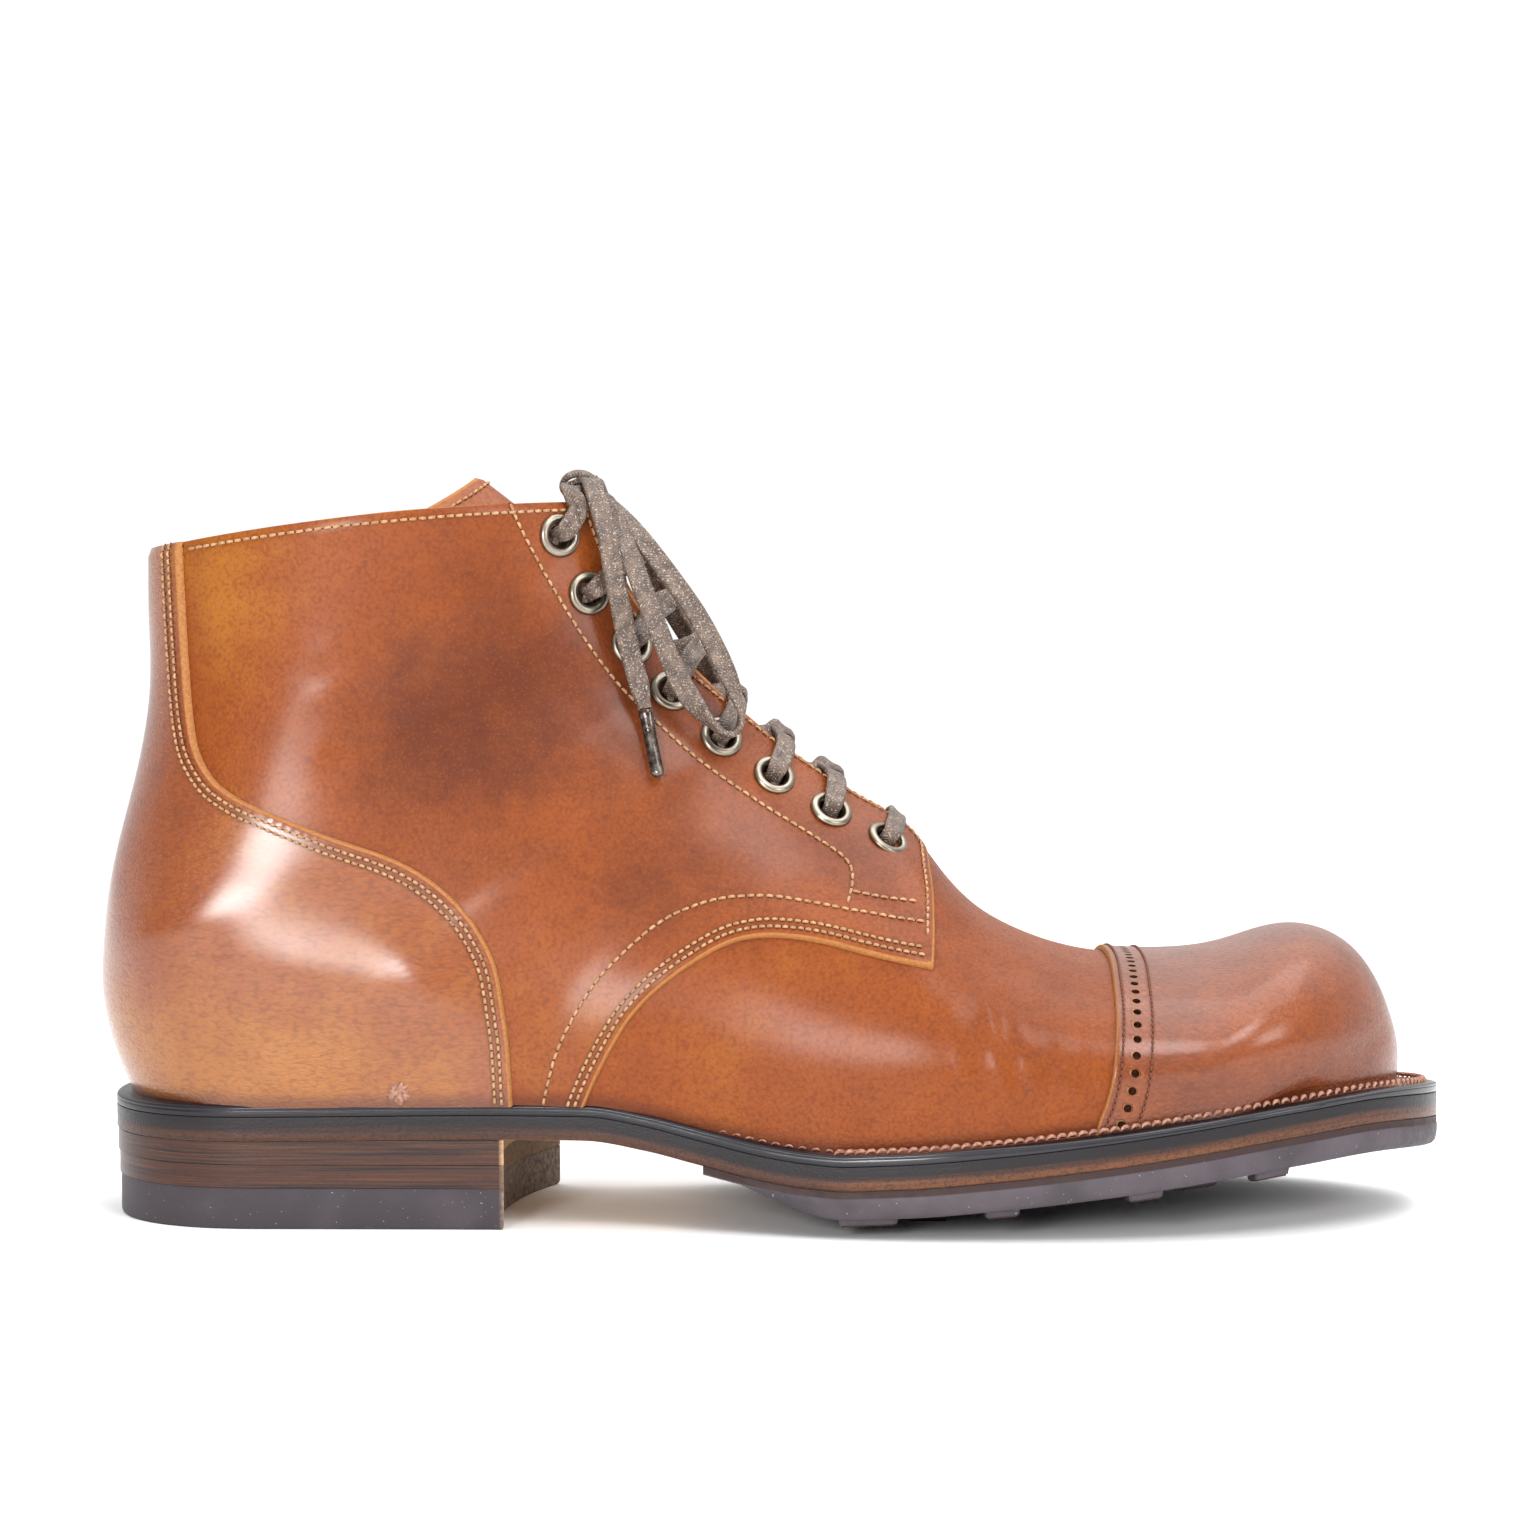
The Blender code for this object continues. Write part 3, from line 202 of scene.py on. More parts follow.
FOREFOOT = {  # the forefoot is turned a little, outer edge up, and dished
    "x": (100, 137, 160, 181, 225, 268, 305),
    "turn": (0, 0.02, 0.033, 0.042, 0.062, 0.09, 0.1),
    "dish": (0, 0.6, 0.9, 1.4, 2.2, 2.8, 3.0),
}
DISH_REACH = 50.0
RIDGE = {  # middle line, from under the toe over the instep to the front of the collar
    "x": (291.5, 294.9, 294.4, 292.8, 289.5, 284, 278.8, 273.5, 268.2, 262.7, 257, 251, 245, 239, 228,
          222, 216.5, 210.8, 205.1, 199.4, 193, 187, 180, 169.4, 158.2, 142, 134.2, 125.4, 118.2),
    "z": (18.6, 28.6, 37.5, 44.2, 51.9, 58.9, 62, 63, 62.4, 60.6, 58.8, 57.3, 57.1, 57.1, 58.2,
          58.8, 60.2, 62.3, 65.2, 68.9, 75.3, 83, 89.8, 97.2, 105.6, 121.4, 133, 145, 160.8),
}
BACK = {  # back seam, from below the welt to the collar
    "z": (16, 22, 28, 36, 46, 57, 68, 79, 90, 100, 110, 120, 135, 150.5),
    "x": (13, 10, 7, 2.4, -0.2, -0.9, 1.0, 5.4, 8.8, 10.4, 12.3, 13.6, 13.4, 13.4),
}
SKIRT, TUCK = 12.0, 4.0  # the last runs on below the welt, and in
SECTIONS = {
    "ridge": (0, 22, 34, 51, 73, 99.5, 124.5, 138.5, 149.5, 159, 167.5, 177.5, 187.5, 198.5, 208.5,
              217.5, 228.5, 241.5, 258.5),
    "base": (0, 3.5, 6.5, 9.5, 12, 14.5, 36, 52, 72, 95, 122, 152, 185, 225, 250, 292, 325, 357, 384),
    "outer": (47.8, 48.4, 48.8, 49.2, 49.5, 49.7, 49.8, 48.8, 46.4, 42.4, 38.8, 37, 35.8, 35.4, 35.2,
              33.2, 30, 29.6, 30.6),
    "inner": (47.8, 48.4, 48.8, 49.2, 49.5, 49.7, 48.8, 45.8, 41.2, 37.6, 35.4, 34.8, 34.6, 34.6,
              34.6, 33, 30, 29.6, 30.6),
    "widest": (-0.4, -0.15, 0.1, 0.28, 0.38, 0.46, 0.43, 0.4, 0.37, 0.35, 0.34, 0.34, 0.34, 0.35,
               0.34, 0.30, 0.37, 0.45, 0.5),
    "round": (2.15, 2.15, 2.2, 2.25, 2.3, 2.3, 2.2, 2.1, 2.05, 2.05, 2.1, 2.1, 2.1, 2.1, 1.95, 1.75,
              1.55, 1.48, 1.45),
    "lower": (2.1, 2.1, 2.1, 2.1, 2.1, 2.1, 2.1, 2.1, 2.1, 2.1, 2.1, 2.2, 2.5, 2.9, 3.0, 2.6, 2.4,
              2.2, 2.1),
}
COLLAR_BOW, COLLAR_BOW_FROM = 2.2, 16
ROW_STEPS = ((0, 12, 18), (12, 15, 11), (15, 18, 5))  # first section, last section, rows
COLUMNS = 9
HEEL_EASE_REACH, HEEL_EASE_ROUNDS = 62.0, 2
FINE_LEVELS, FIT_ROUNDS = 3, 4
MERGE, BREAK = 0.02, 0.1  # points nearer than this are one, a field that jumps by more is broken there
# The cap is pulled in at the welt beside the ball, and the last is evened where the heel's easing ends.
DRAWN_IN = {"mm": 2.2, "from": (220, 243), "to": (262, 284), "high": (1, 15), "out": (20, 40)}
COUNTER_EASE = {"x": 70, "z": 61, "reach": 20, "share": 0.8, "rounds": 140}


def smooth(knots, values, at):
    """Monotone cubic through the knots, so that a table never overshoots."""
    x, y = np.asarray(knots, float), np.asarray(values, float)
    if x[0] > x[-1]:
        x, y = x[::-1], y[::-1]
    gap, slope = np.diff(x), np.diff(y) / np.diff(x)
    tangent = np.zeros(len(x))
    tangent[0], tangent[-1] = slope[0], slope[-1]
    for i in range(1, len(x) - 1):
        if slope[i - 1] * slope[i] > 0:
            before, after = gap[i - 1], gap[i]
            tangent[i] = 3 * (before + after) / (
                (2 * after + before) / slope[i - 1] + (after + 2 * before) / slope[i])
    at = np.clip(np.asarray(at, float), x[0], x[-1])
    i = np.clip(np.searchsorted(x, at) - 1, 0, len(gap) - 1)
    u = (at - x[i]) / gap[i]
    return ((1 + 2 * u) * (1 - u) ** 2 * y[i] + u * (1 - u) ** 2 * gap[i] * tangent[i]
            + u * u * (3 - 2 * u) * y[i + 1] + u * u * (u - 1) * gap[i] * tangent[i + 1])


def sole_top(x, y):
    """Top of the welt anywhere over the sole."""
    turn = smooth(FOREFOOT["x"], FOREFOOT["turn"], x)
    dish = smooth(FOREFOOT["x"], FOREFOOT["dish"], x)
    return smooth(SOLE_LINE["x"], SOLE_LINE["z"], x) - turn * y + dish * (y / DISH_REACH) ** 2


def half_outline(side, share, feather=False, inset=0.0):
    """Points of half the sole's outline, share 0 at the toe tip to 1 at the back of the heel."""
    sign = SIGN[side]
    tip, back = (FEATHER_TIP, FEATHER_BACK) if feather else (SOLE_TIP, SOLE_BACK)
    tip, back = tip - inset, back + inset
    margin = smooth(MARGIN["x"], MARGIN["mm"], SIDES["x"]) if feather else 0
    half = np.array(SIDES[side]) - margin - inset
    share = np.atleast_1d(np.asarray(share, float))
    x, y = np.zeros(len(share)), np.zeros(len(share))
    toe = share < TOE_SHARE
    turn = np.pi / 2 * share[toe] / TOE_SHARE
    x[toe] = BALL + (tip - BALL) * np.cos(turn) ** (2 / TOE_ROUND)
    y[toe] = TIP_SWING + (sign * half[-1] - TIP_SWING) * np.sin(turn) ** (2 / TOE_ROUND)
    heel = share > HEEL_SHARE
    turn = np.pi / 2 * (share[heel] - HEEL_SHARE) / (1 - HEEL_SHARE)
    x[heel] = HEEL_CURVE_END - (HEEL_CURVE_END - back) * np.sin(turn) ** (2 / HEEL_ROUND)
    y[heel] = sign * half[0] * np.cos(turn).clip(0) ** (2 / HEEL_ROUND)
    middle = ~toe & ~heel
    along = (share[middle] - TOE_SHARE) / (HEEL_SHARE - TOE_SHARE)
    x[middle] = BALL + (HEEL_CURVE_END - BALL) * along
    y[middle] = sign * smooth(SIDES["x"], half, x[middle])
    return np.stack([x, y], 1)


BASE_LINE = {side: half_outline(side, np.linspace(0, 1, 600), True, TUCK) for side in SIGN}


def base_point(side, base):
    """A point of the last's lower edge, or of the back seam above it."""
    side_length = TOE_FAN - HEEL_CURVE_END
    line = BASE_LINE[side][::-1]
    if base > side_length + HEEL_ARC:
        z = BACK["z"][0] + base - side_length - HEEL_ARC
        return np.array([float(smooth(BACK["z"], BACK["x"], z)), 0.0, z])
    if base <= side_length:
        x = TOE_FAN - base
        y = np.interp(x, line[:, 0], line[:, 1])
    else:
        turn = np.pi / 2 * (base - side_length) / HEEL_ARC
        reach = HEEL_CURVE_END - FEATHER_BACK - TUCK
        x = HEEL_CURVE_END - reach * np.sin(turn) ** (2 / HEEL_ROUND)
        y = np.interp(HEEL_CURVE_END, line[:, 0], line[:, 1]) * max(np.cos(turn), 0) ** (2 / HEEL_ROUND)
    return np.array([x, y, float(sole_top(x, y)) - SKIRT])


def lengths(points):
    """Length along a polyline at each of its points."""
    return np.concatenate([[0], np.cumsum(np.linalg.norm(np.diff(points, axis=0), axis=1))])


def between(at, knots, rows):
    """Rows read between the knots that they stand at, column by column."""
    return np.stack([np.interp(at, knots, column) for column in rows.T], -1)


def spaced(points, shares):
    """Points at the given shares of a polyline's length."""
    along = lengths(points)
    return between(np.asarray(shares) * along[-1], along, points)


knots = np.stack([RIDGE["x"], RIDGE["z"]], 1).astype(float)
fine = np.linspace(0, lengths(knots)[-1], 800)
RIDGE_LINE = np.stack([smooth(lengths(knots), knots[:, k], fine) for k in (0, 1)], 1)
RIDGE_LENGTH = lengths(RIDGE_LINE)


def swing(x):
    """How far the middle line leans to the inner side in front of the ankle."""
    return TIP_SWING * np.clip((x - SWING_FROM) / (FEATHER_TIP - SWING_FROM), 0, 1)


def ridge_point(ridge):
    """A point of the middle line, by its length from under the toe."""
    x, z = between(ridge, RIDGE_LENGTH, RIDGE_LINE)
    return np.array([x, swing(x), z])


def section(row):
    """The section table's columns at a row, which need not be whole."""
    index = np.arange(len(SECTIONS["ridge"]))
    return {name: float(smooth(index, values, row)) for name, values in SECTIONS.items()}


def arch(row, side):
    """Dense points of half a section, from the middle line down to the lower edge."""
    v = section(row)
    front, end = ridge_point(v["ridge"]), base_point(side, v["base"])
    half = v[side] * SIGN[side]
    widest, power = v["widest"], 2 / v["round"]
    last = math.pi / 2 if widest >= 0 else math.acos((-widest / (1 - widest)) ** (v["round"] / 2))
    turn = np.linspace(0, last, 60)
    up = widest + (1 - widest) * np.cos(turn).clip(0) ** power
    y = front[1] + (half - front[1]) * np.sin(turn) ** power
    if widest > 0:
        turn = np.linspace(0, math.pi / 2, 40)[1:]
        power = 2 / v["lower"]
        up = np.append(up, widest * (1 - np.sin(turn) ** power))
        y = np.append(y, end[1] + (half - end[1]) * np.cos(turn).clip(0) ** power)
    points = end[None, :] + up[:, None] * (front - end)[None, :]
    points[:, 1] = y + (end[1] - y[-1]) * (1 - up) ** 3
    shaft = np.clip(row - COLLAR_BOW_FROM, 0, 2) / 2
    points[:, 2] += COLLAR_BOW * shaft * 4 * up * (1 - up)
    return points


def unit(vectors):
    """A vector, or rows of vectors, brought to length 1."""
    return np.asarray(vectors) / np.linalg.norm(vectors, axis=-1, keepdims=True)


class Skin:
    """A triangle surface on the last: points and outward normals in mm, and named fields on them."""

    def __init__(self, points, normals, faces, fields):
        self.points, self.normals, self.faces, self.fields = points, normals, faces, fields

    def cut(self, name, level=0.0):
        """Adds edges where a field crosses a level."""
        value = self.fields[name] - level
        value[np.abs(value) < MERGE] = 0
        side = np.sign(value)
        mixed = (side[self.faces].min(1) < 0) & (side[self.faces].max(1) > 0)
        made, ends, share = {}, [], []
        faces = [self.faces[~mixed]]
        for face in self.faces[mixed]:
            above, below = [], []
            for p, q in zip(face, np.roll(face, -1)):
                if side[p] >= 0:
                    above.append(p)
                if side[p] <= 0:
                    below.append(p)
                if side[p] * side[q] < 0:
                    key = (min(p, q), max(p, q))
                    if key not in made:
                        made[key] = len(self.points) + len(ends)
                        ends.append(key)
                        share.append(value[key[0]] / (value[key[0]] - value[key[1]]))
                    above.append(made[key])
                    below.append(made[key])
            for part in (above, below):
                faces.append([(part[0], part[k], part[k + 1]) for k in range(1, len(part) - 1)])
        if not ends:
            return self
        ends, share = np.array(ends), np.array(share)

        def grown(values):
            t = share.reshape(-1, *[1] * (values.ndim - 1))
            return np.concatenate([values, values[ends[:, 0]] * (1 - t) + values[ends[:, 1]] * t])

        fields = {key: grown(values) for key, values in self.fields.items()}
        fields[name][len(self.points):] = level
        faces = np.vstack([part for part in faces if len(part)])
        return Skin(grown(self.points), unit(grown(self.normals)), faces, fields)

    def above(self, name, level=0.0):
        """The part of the skin where a field is over a level, cut cleanly there."""
        cut = self.cut(name, level)
        inside = cut.fields[name][cut.faces].min(1) > level - 2 * MERGE
        inside &= cut.fields[name][cut.faces].max(1) > level + MERGE
        faces = cut.faces[inside]
        used, index = np.unique(faces, return_inverse=True)
        fields = {key: values[used] for key, values in cut.fields.items()}
        return Skin(cut.points[used], cut.normals[used], index.reshape(-1, 3), fields)

    def flipped(self, name):
        """The same skin with one field turned over, so that above() keeps its other side."""
        fields = dict(self.fields)
        fields[name] = -fields[name]
        return Skin(self.points, self.normals, self.faces, fields)

    def contours(self, name, level=0.0):
        """Lines along the skin where a field has this level: points and normals."""
        value = self.fields[name] - level
        value = np.where(value == 0, 1e-6, value)
        side = value > 0
        links = {}
        for face in self.faces[side[self.faces].any(1) & ~side[self.faces].all(1)]:
            ends = [(min(p, q), max(p, q)) for p, q in zip(face, np.roll(face, -1)) if side[p] != side[q]]
            jump = max(abs(value[p] - value[q]) - 2 * np.linalg.norm(self.points[p] - self.points[q])
                       for p, q in ends)
            if jump > BREAK:
                continue
            links.setdefault(ends[0], []).append(ends[1])
            links.setdefault(ends[1], []).append(ends[0])
        lines, left = [], set(links)
        while left:
            start = min((key for key in left if len(links[key]) == 1), default=min(left))
            line = [start]
            left.discard(start)
            while True:
                following = [key for key in links[line[-1]] if key in left]
                if not following:
                    break
                line.append(following[0])
                left.discard(following[0])
            p, q = np.array(line).T
            t = (value[p] / (value[p] - value[q]))[:, None]
            normals = unit(self.normals[p] * (1 - t) + self.normals[q] * t)
            lines.append((self.points[p] * (1 - t) + self.points[q] * t, normals))
        return lines


def last_skin():
    """The whole last as a fine surface: a coarse cage, eased at the heel, then subdivided."""
    rows = np.unique(np.concatenate([np.linspace(a, b, n + 1) for a, b, n in ROW_STEPS]))
    shares = np.linspace(0, 1, COLUMNS + 1)
    wide = 2 * COLUMNS + 1
    shape = bmesh.new()
    row_layer = shape.verts.layers.float.new("row")
    grid = []
    for row in rows:
        outer, inner = (spaced(arch(row, side), shares) for side in SIGN)
        for point in np.vstack([outer[::-1], inner[1:]]):
            grid.append(shape.verts.new(point))
            grid[-1][row_layer] = row
    for i in range(len(rows) - 1):
        for j in range(wide - 1):
            a = i * wide + j
            shape.faces.new([grid[a], grid[a + wide], grid[a + wide + 1], grid[a + 1]])
    bmesh.ops.remove_doubles(shape, verts=shape.verts, dist=MERGE)
    reach = HEEL_EASE_REACH
    soft = [v for v in shape.verts if v.co.x < reach and v.co.z < reach and not v.is_boundary]
    for _ in range(HEEL_EASE_ROUNDS):
        bmesh.ops.smooth_vert(shape, verts=soft, factor=0.5, use_axis_x=True, use_axis_y=True,
                              use_axis_z=True)
    mesh = bpy.data.meshes.new("last")
    shape.to_mesh(mesh)
    shape.free()
    cage = show("last", mesh)
    finer = cage.modifiers.new("finer", "SUBSURF")
    finer.levels = finer.render_levels = FINE_LEVELS
    goal = np.array([v.co for v in mesh.vertices])
    for _ in range(FIT_ROUNDS):
        result = evaluated(cage)
        reached = np.array([v.co for v in result.vertices[:len(goal)]])
        mesh.vertices.foreach_set("co", (np.array([v.co for v in mesh.vertices]) + goal - reached).ravel())
        mesh.update()
    result = evaluated(cage)
    result.calc_loop_triangles()
    points = np.array([v.co for v in result.vertices])
    normals = np.array([v.normal for v in result.vertices])
    faces = np.array([t.vertices[:] for t in result.loop_triangles])
    row_of = np.array([v.value for v in result.attributes["row"].data])
    bpy.data.objects.remove(cage)
    if (normals * (points - points.mean(0))).sum() < 0:
        normals, faces = -normals, faces[:, ::-1]
    return Skin(points, normals, faces, {"row": row_of})


def evaluated(made):
    """A copy of an object's mesh as its modifiers leave it."""
    graph = bpy.context.evaluated_depsgraph_get()
    return bpy.data.meshes.new_from_object(made.evaluated_get(graph), depsgraph=graph)


def eased(skin, weight, rounds):
    """Evens out a skin: each round moves its points towards their neighbours' middle, by weight."""
    count = len(skin.points)
    ends = np.vstack([skin.faces[:, pair] for pair in ([0, 1], [1, 2], [2, 0], [1, 0], [2, 1], [0, 2])])
    times = np.bincount(ends[:, 0], minlength=count)[:, None]
    points = skin.points.copy()
    for _ in range(rounds):
        total = [np.bincount(ends[:, 0], points[ends[:, 1], k], count) for k in range(3)]
        points += weight[:, None] * (np.stack(total, 1) / times - points)
    corner = points[skin.faces]
    flat = np.cross(corner[:, 1] - corner[:, 0], corner[:, 2] - corner[:, 0])
    normals = [np.bincount(skin.faces.ravel(), np.repeat(flat[:, k], 3), count) for k in range(3)]
    return Skin(points, unit(np.stack(normals, 1)), skin.faces, skin.fields)


def step(values, low, high):
    """0 up to low, 1 from high, smooth between."""
    share = np.clip((values - low) / (high - low), 0, 1)
    return share * share * (3 - 2 * share)


last = last_skin()
x, y, z = last.points.T
pull = DRAWN_IN["mm"] * step(x, *DRAWN_IN["from"]) * (1 - step(x, *DRAWN_IN["to"]))
pull *= 1 - step(z - sole_top(x, y), *DRAWN_IN["high"])
last.points[:, 1] += pull * step(-y, *DRAWN_IN["out"])
away = ((x - COUNTER_EASE["x"]) ** 2 + (z - COUNTER_EASE["z"]) ** 2) / COUNTER_EASE["reach"] ** 2
last = eased(last, COUNTER_EASE["share"] * np.exp(-away), COUNTER_EASE["rounds"])

# Lining. A thin pale leather inside the whole upper, glued to its flesh side and open at the throat,
# with the eyelets' holes punched through it.
MM, HEEL_TO_MIDDLE = 0.001, 152.5
THROAT_RIDGE, THROAT_HALF, THROAT_BACK = 151.5, (5.0, 8.5), 60.0
EYELETS = {  # from the collar down: place along the middle line, and in from the facing's edge
    "ridge": (250.5, 238, 225.5, 214, 200, 186.5, 173, 160),
    "inset": (11.7, 10.4, 8.6, 10.2, 12.4, 12.4, 13.2, 12.9),
}
EYELET_BARREL = 3.2
WELT_TUCK = 0.5  # the upper's pieces end this far below the top of the welt
COLLAR_ROW = len(SECTIONS["ridge"]) - 1
LINING_DEPTH, LINING_INSET = (1.35, 2.3), 0.5
UNDER_COLLAR = ((-60, 140), (-60, -50), (400, -50), (400, 161))  # closes the side view below the collar


def throat_half(ridge):
    """Half the gap between the facings."""
    share = (ridge - THROAT_RIDGE) / (RIDGE_LENGTH[-1] - THROAT_RIDGE)
    return THROAT_HALF[0] + (THROAT_HALF[1] - THROAT_HALF[0]) * np.clip(share, 0, 1)


def row_at(ridge):
    """The section row whose middle point lies this far along the ridge."""
    return float(np.interp(ridge, SECTIONS["ridge"], np.arange(len(SECTIONS["ridge"]))))


def facing_line(ridge, side):
    """Half a section from the facing's edge down."""
    points = arch(row_at(ridge), side)
    away = np.abs(points[:, 1] - points[0, 1])
    gap = throat_half(ridge)
    first = int(np.argmax(away > gap))
    share = (gap - away[first - 1]) / (away[first] - away[first - 1])
    return np.vstack([points[first - 1] + share * (points[first] - points[first - 1]), points[first:]])


def facing_point(side, ridge, inset, lift=0.0):
    """A point on a facing, with its normal: in from the edge, lift off the leather."""
    def on_leather(along, away):
        line = facing_line(along, side)
        return between(away, lengths(line), line)
    here = on_leather(ridge, inset)
    up = on_leather(ridge + 1, inset) - on_leather(ridge - 1, inset)
    out = on_leather(ridge, inset + 1) - on_leather(ridge, max(inset - 1, 0))
    normal = np.cross(up, out)
    normal *= np.sign(normal[0] + normal[2]) / np.linalg.norm(normal)
    return here + normal * lift, normal


def through(points, count):
    """A smooth curve through given points, evenly spaced."""
    points = np.asarray(points, float)
    ends = np.vstack([2 * points[0] - points[1], points, 2 * points[-1] - points[-2]])
    curve = []
    for a, b, c, d in zip(ends, ends[1:], ends[2:], ends[3:]):
        for u in np.linspace(0, 1, 12, endpoint=False):
            curve.append(0.5 * (2 * b + (c - a) * u + (2 * a - 5 * b + 4 * c - d) * u ** 2
                                + (3 * b - a - 3 * c + d) * u ** 3))
    curve.append(points[-1])
    return spaced(np.array(curve), np.linspace(0, 1, count))


def side_distance(points, line, around):
    """Distance from a line in the side view, positive on the side that the corners in around close."""
    flat = points[:, [0, 2]]
    line = np.asarray(line, float)
    nearest = np.full(len(flat), 1e9)
    for a, b in zip(line, line[1:]):
        run = b - a
        share = np.clip((flat - a) @ run / (run @ run), 0, 1)
        nearest = np.minimum(nearest, np.linalg.norm(flat - a - share[:, None] * run, axis=1))
    inside = np.zeros(len(flat), bool)
    ring = np.vstack([line, around])
    for a, b in zip(ring, np.roll(ring, -1, 0)):
        spans = (a[1] > flat[:, 1]) != (b[1] > flat[:, 1])
        with np.errstate(divide="ignore", invalid="ignore"):
            inside ^= spans & (flat[:, 0] < a[0] + (flat[:, 1] - a[1]) * (b[0] - a[0]) / (b[1] - a[1]))
    return np.where(inside, nearest, -nearest)


def soft_least(first, second, reach):
    """The lesser of two fields, rounded where they meet."""
    blend = np.clip(0.5 + 0.5 * (second - first) / reach, 0, 1)
    return second * (1 - blend) + first * blend - reach * blend * (1 - blend)


EYELET_AT = {(side, k): facing_point(side, ridge, inset)  # middle on the leather, and normal
             for side in SIGN for k, (ridge, inset) in enumerate(zip(*EYELETS.values()))}
ridge_of = smooth(np.arange(COLLAR_ROW + 1), SECTIONS["ridge"], last.fields["row"])
middle_x = np.interp(ridge_of, RIDGE_LENGTH, RIDGE_LINE[:, 0])
facing = np.abs(last.points[:, 1] - swing(middle_x)) - throat_half(ridge_of)
last.fields["facing"] = np.where(last.points[:, 0] < THROAT_BACK, THROAT_BACK, facing)
last.fields["welt"] = last.points[:, 2] - sole_top(last.points[:, 0], last.points[:, 1]) + WELT_TUCK
collar = arch(COLLAR_ROW, "outer")[:, [0, 2]]
last.fields["collar"] = side_distance(last.points, collar, UNDER_COLLAR)
last.fields["hole"] = np.full(len(last.points), 1e3)
for place, normal in EYELET_AT.values():
    arm = last.points - place
    reach = np.linalg.norm(arm - (arm @ normal)[:, None] * normal, axis=1) - EYELET_BARREL
    far = np.linalg.norm(arm, axis=1) > 4 * EYELET_BARREL
    last.fields["hole"] = np.minimum(last.fields["hole"], np.where(far, 9 * EYELET_BARREL, reach))


def place_mm(points):
    """Millimetres from the heel to metres in the boot's frame."""
    return (np.asarray(points, float) - (HEEL_TO_MIDDLE, 0, 0)) * MM


def add_piece(name, points, faces, paint, slot, nodes=(), fields=None, sharp=40.0):
    """A finished piece from points in mm: smooth, with fields as attributes, riding on the boot."""
    mesh = bpy.data.meshes.new(name)
    mesh.from_pydata(place_mm(points), [], [tuple(face) for face in faces])
    mesh.validate()
    mesh.shade_smooth()
    mesh.set_sharp_from_angle(angle=math.radians(sharp))
    for key, values in (fields or {}).items():
        mesh.attributes.new(key, "FLOAT", "POINT").data.foreach_set("value", np.asarray(values, np.float32))
    mesh.materials.append(paint)
    made = show(name, mesh)
    hand_over(made, slot, nodes)
    return made


def hand_over(made, slot, nodes=()):
    """A piece rides on the boot and may stand for CAD nodes, whose parts are then hidden; its slot is not
    used.
    """
    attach(made, "root")
    if nodes:
        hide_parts(*nodes)


def leather_piece(name, skin, under, over, paint, slot, nodes=(), fields=("edge", "tone", "welt")):
    """A cut piece of leather: its grain side over the last, its flesh side under it, and a rim."""
    count = len(skin.points)
    under, over = (np.broadcast_to(height, count)[:, None] for height in (under, over))
    points = np.vstack([skin.points + skin.normals * over, skin.points + skin.normals * under])
    edges = np.vstack([skin.faces[:, [0, 1]], skin.faces[:, [1, 2]], skin.faces[:, [2, 0]]])
    _, first, times = np.unique(np.sort(edges, 1), axis=0, return_index=True, return_counts=True)
    rim = edges[first[times == 1]]
    faces = [tuple(face) for face in skin.faces] + [tuple(face) for face in skin.faces[:, ::-1] + count]
    faces += [(b, a, a + count, b + count) for a, b in rim]
    values = {key: np.tile(skin.fields[key], 2) for key in fields}
    values["flesh"] = np.repeat([0.0, 1.0], count)
    return add_piece(name, points, faces, paint, slot, nodes, values)


LINING_TAN, LINING_DARK = (0.42, 0.2, 0.075, 1), (0.28, 0.115, 0.04, 1)
lining_leather, shader, at = finish("lining_leather", Specular_IOR_Level=0.35)
feed(shader, Base_Color=at.noise(60.0, 4.0).ramp(0.3, 0.75).tint(LINING_TAN, LINING_DARK),
     Roughness=at.noise(900.0).ramp(0.2, 0.8) * 0.2 + 0.55,
     Normal=(at.noise(1500.0, 3.0) + at.cells(900.0)).bump(0.00008))
skin = last.above("welt").above("facing", LINING_INSET).above("hole")
skin.faces = skin.faces[:, ::-1]
skin.normals = -skin.normals
leather_piece("lining", skin, *LINING_DEPTH, lining_leather, "lining_leather", fields=())

# Vamp. The lower front of the upper: one piece of cognac calf with a fine pebbled grain, waxed and
# burnished by hand, pulled over the last and turned in under the welt. It runs on under the quarters.
QUARTER_SEAM = ((108.4, 16), (110, 22), (112.5, 29.1), (116.9, 38.4), (122, 46.9), (127.8, 53.1),
                (135, 58.5), (143, 63), (150.2, 64.7), (157.5, 64.5), (164.7, 63.4), (172, 61.6),
                (179.3, 59.9), (188.4, 58.1))
TAB_FRONT = ((188.7, 64), (188.6, 73.5), (187.5, 84.4), (186, 120))
CAP_LINE = ((220, 10), (223.2, 24.6), (225.2, 30.4), (226.6, 36), (227.3, 41.5), (227.9, 47.5),
            (228.4, 54.2), (229.4, 60.4), (230, 75), (230, 90))
VAMP_UNDER_QUARTER, VAMP_UNDER_CAP, VAMP_THICK = 7.0, 9.0, 1.25
FAR = 400.0
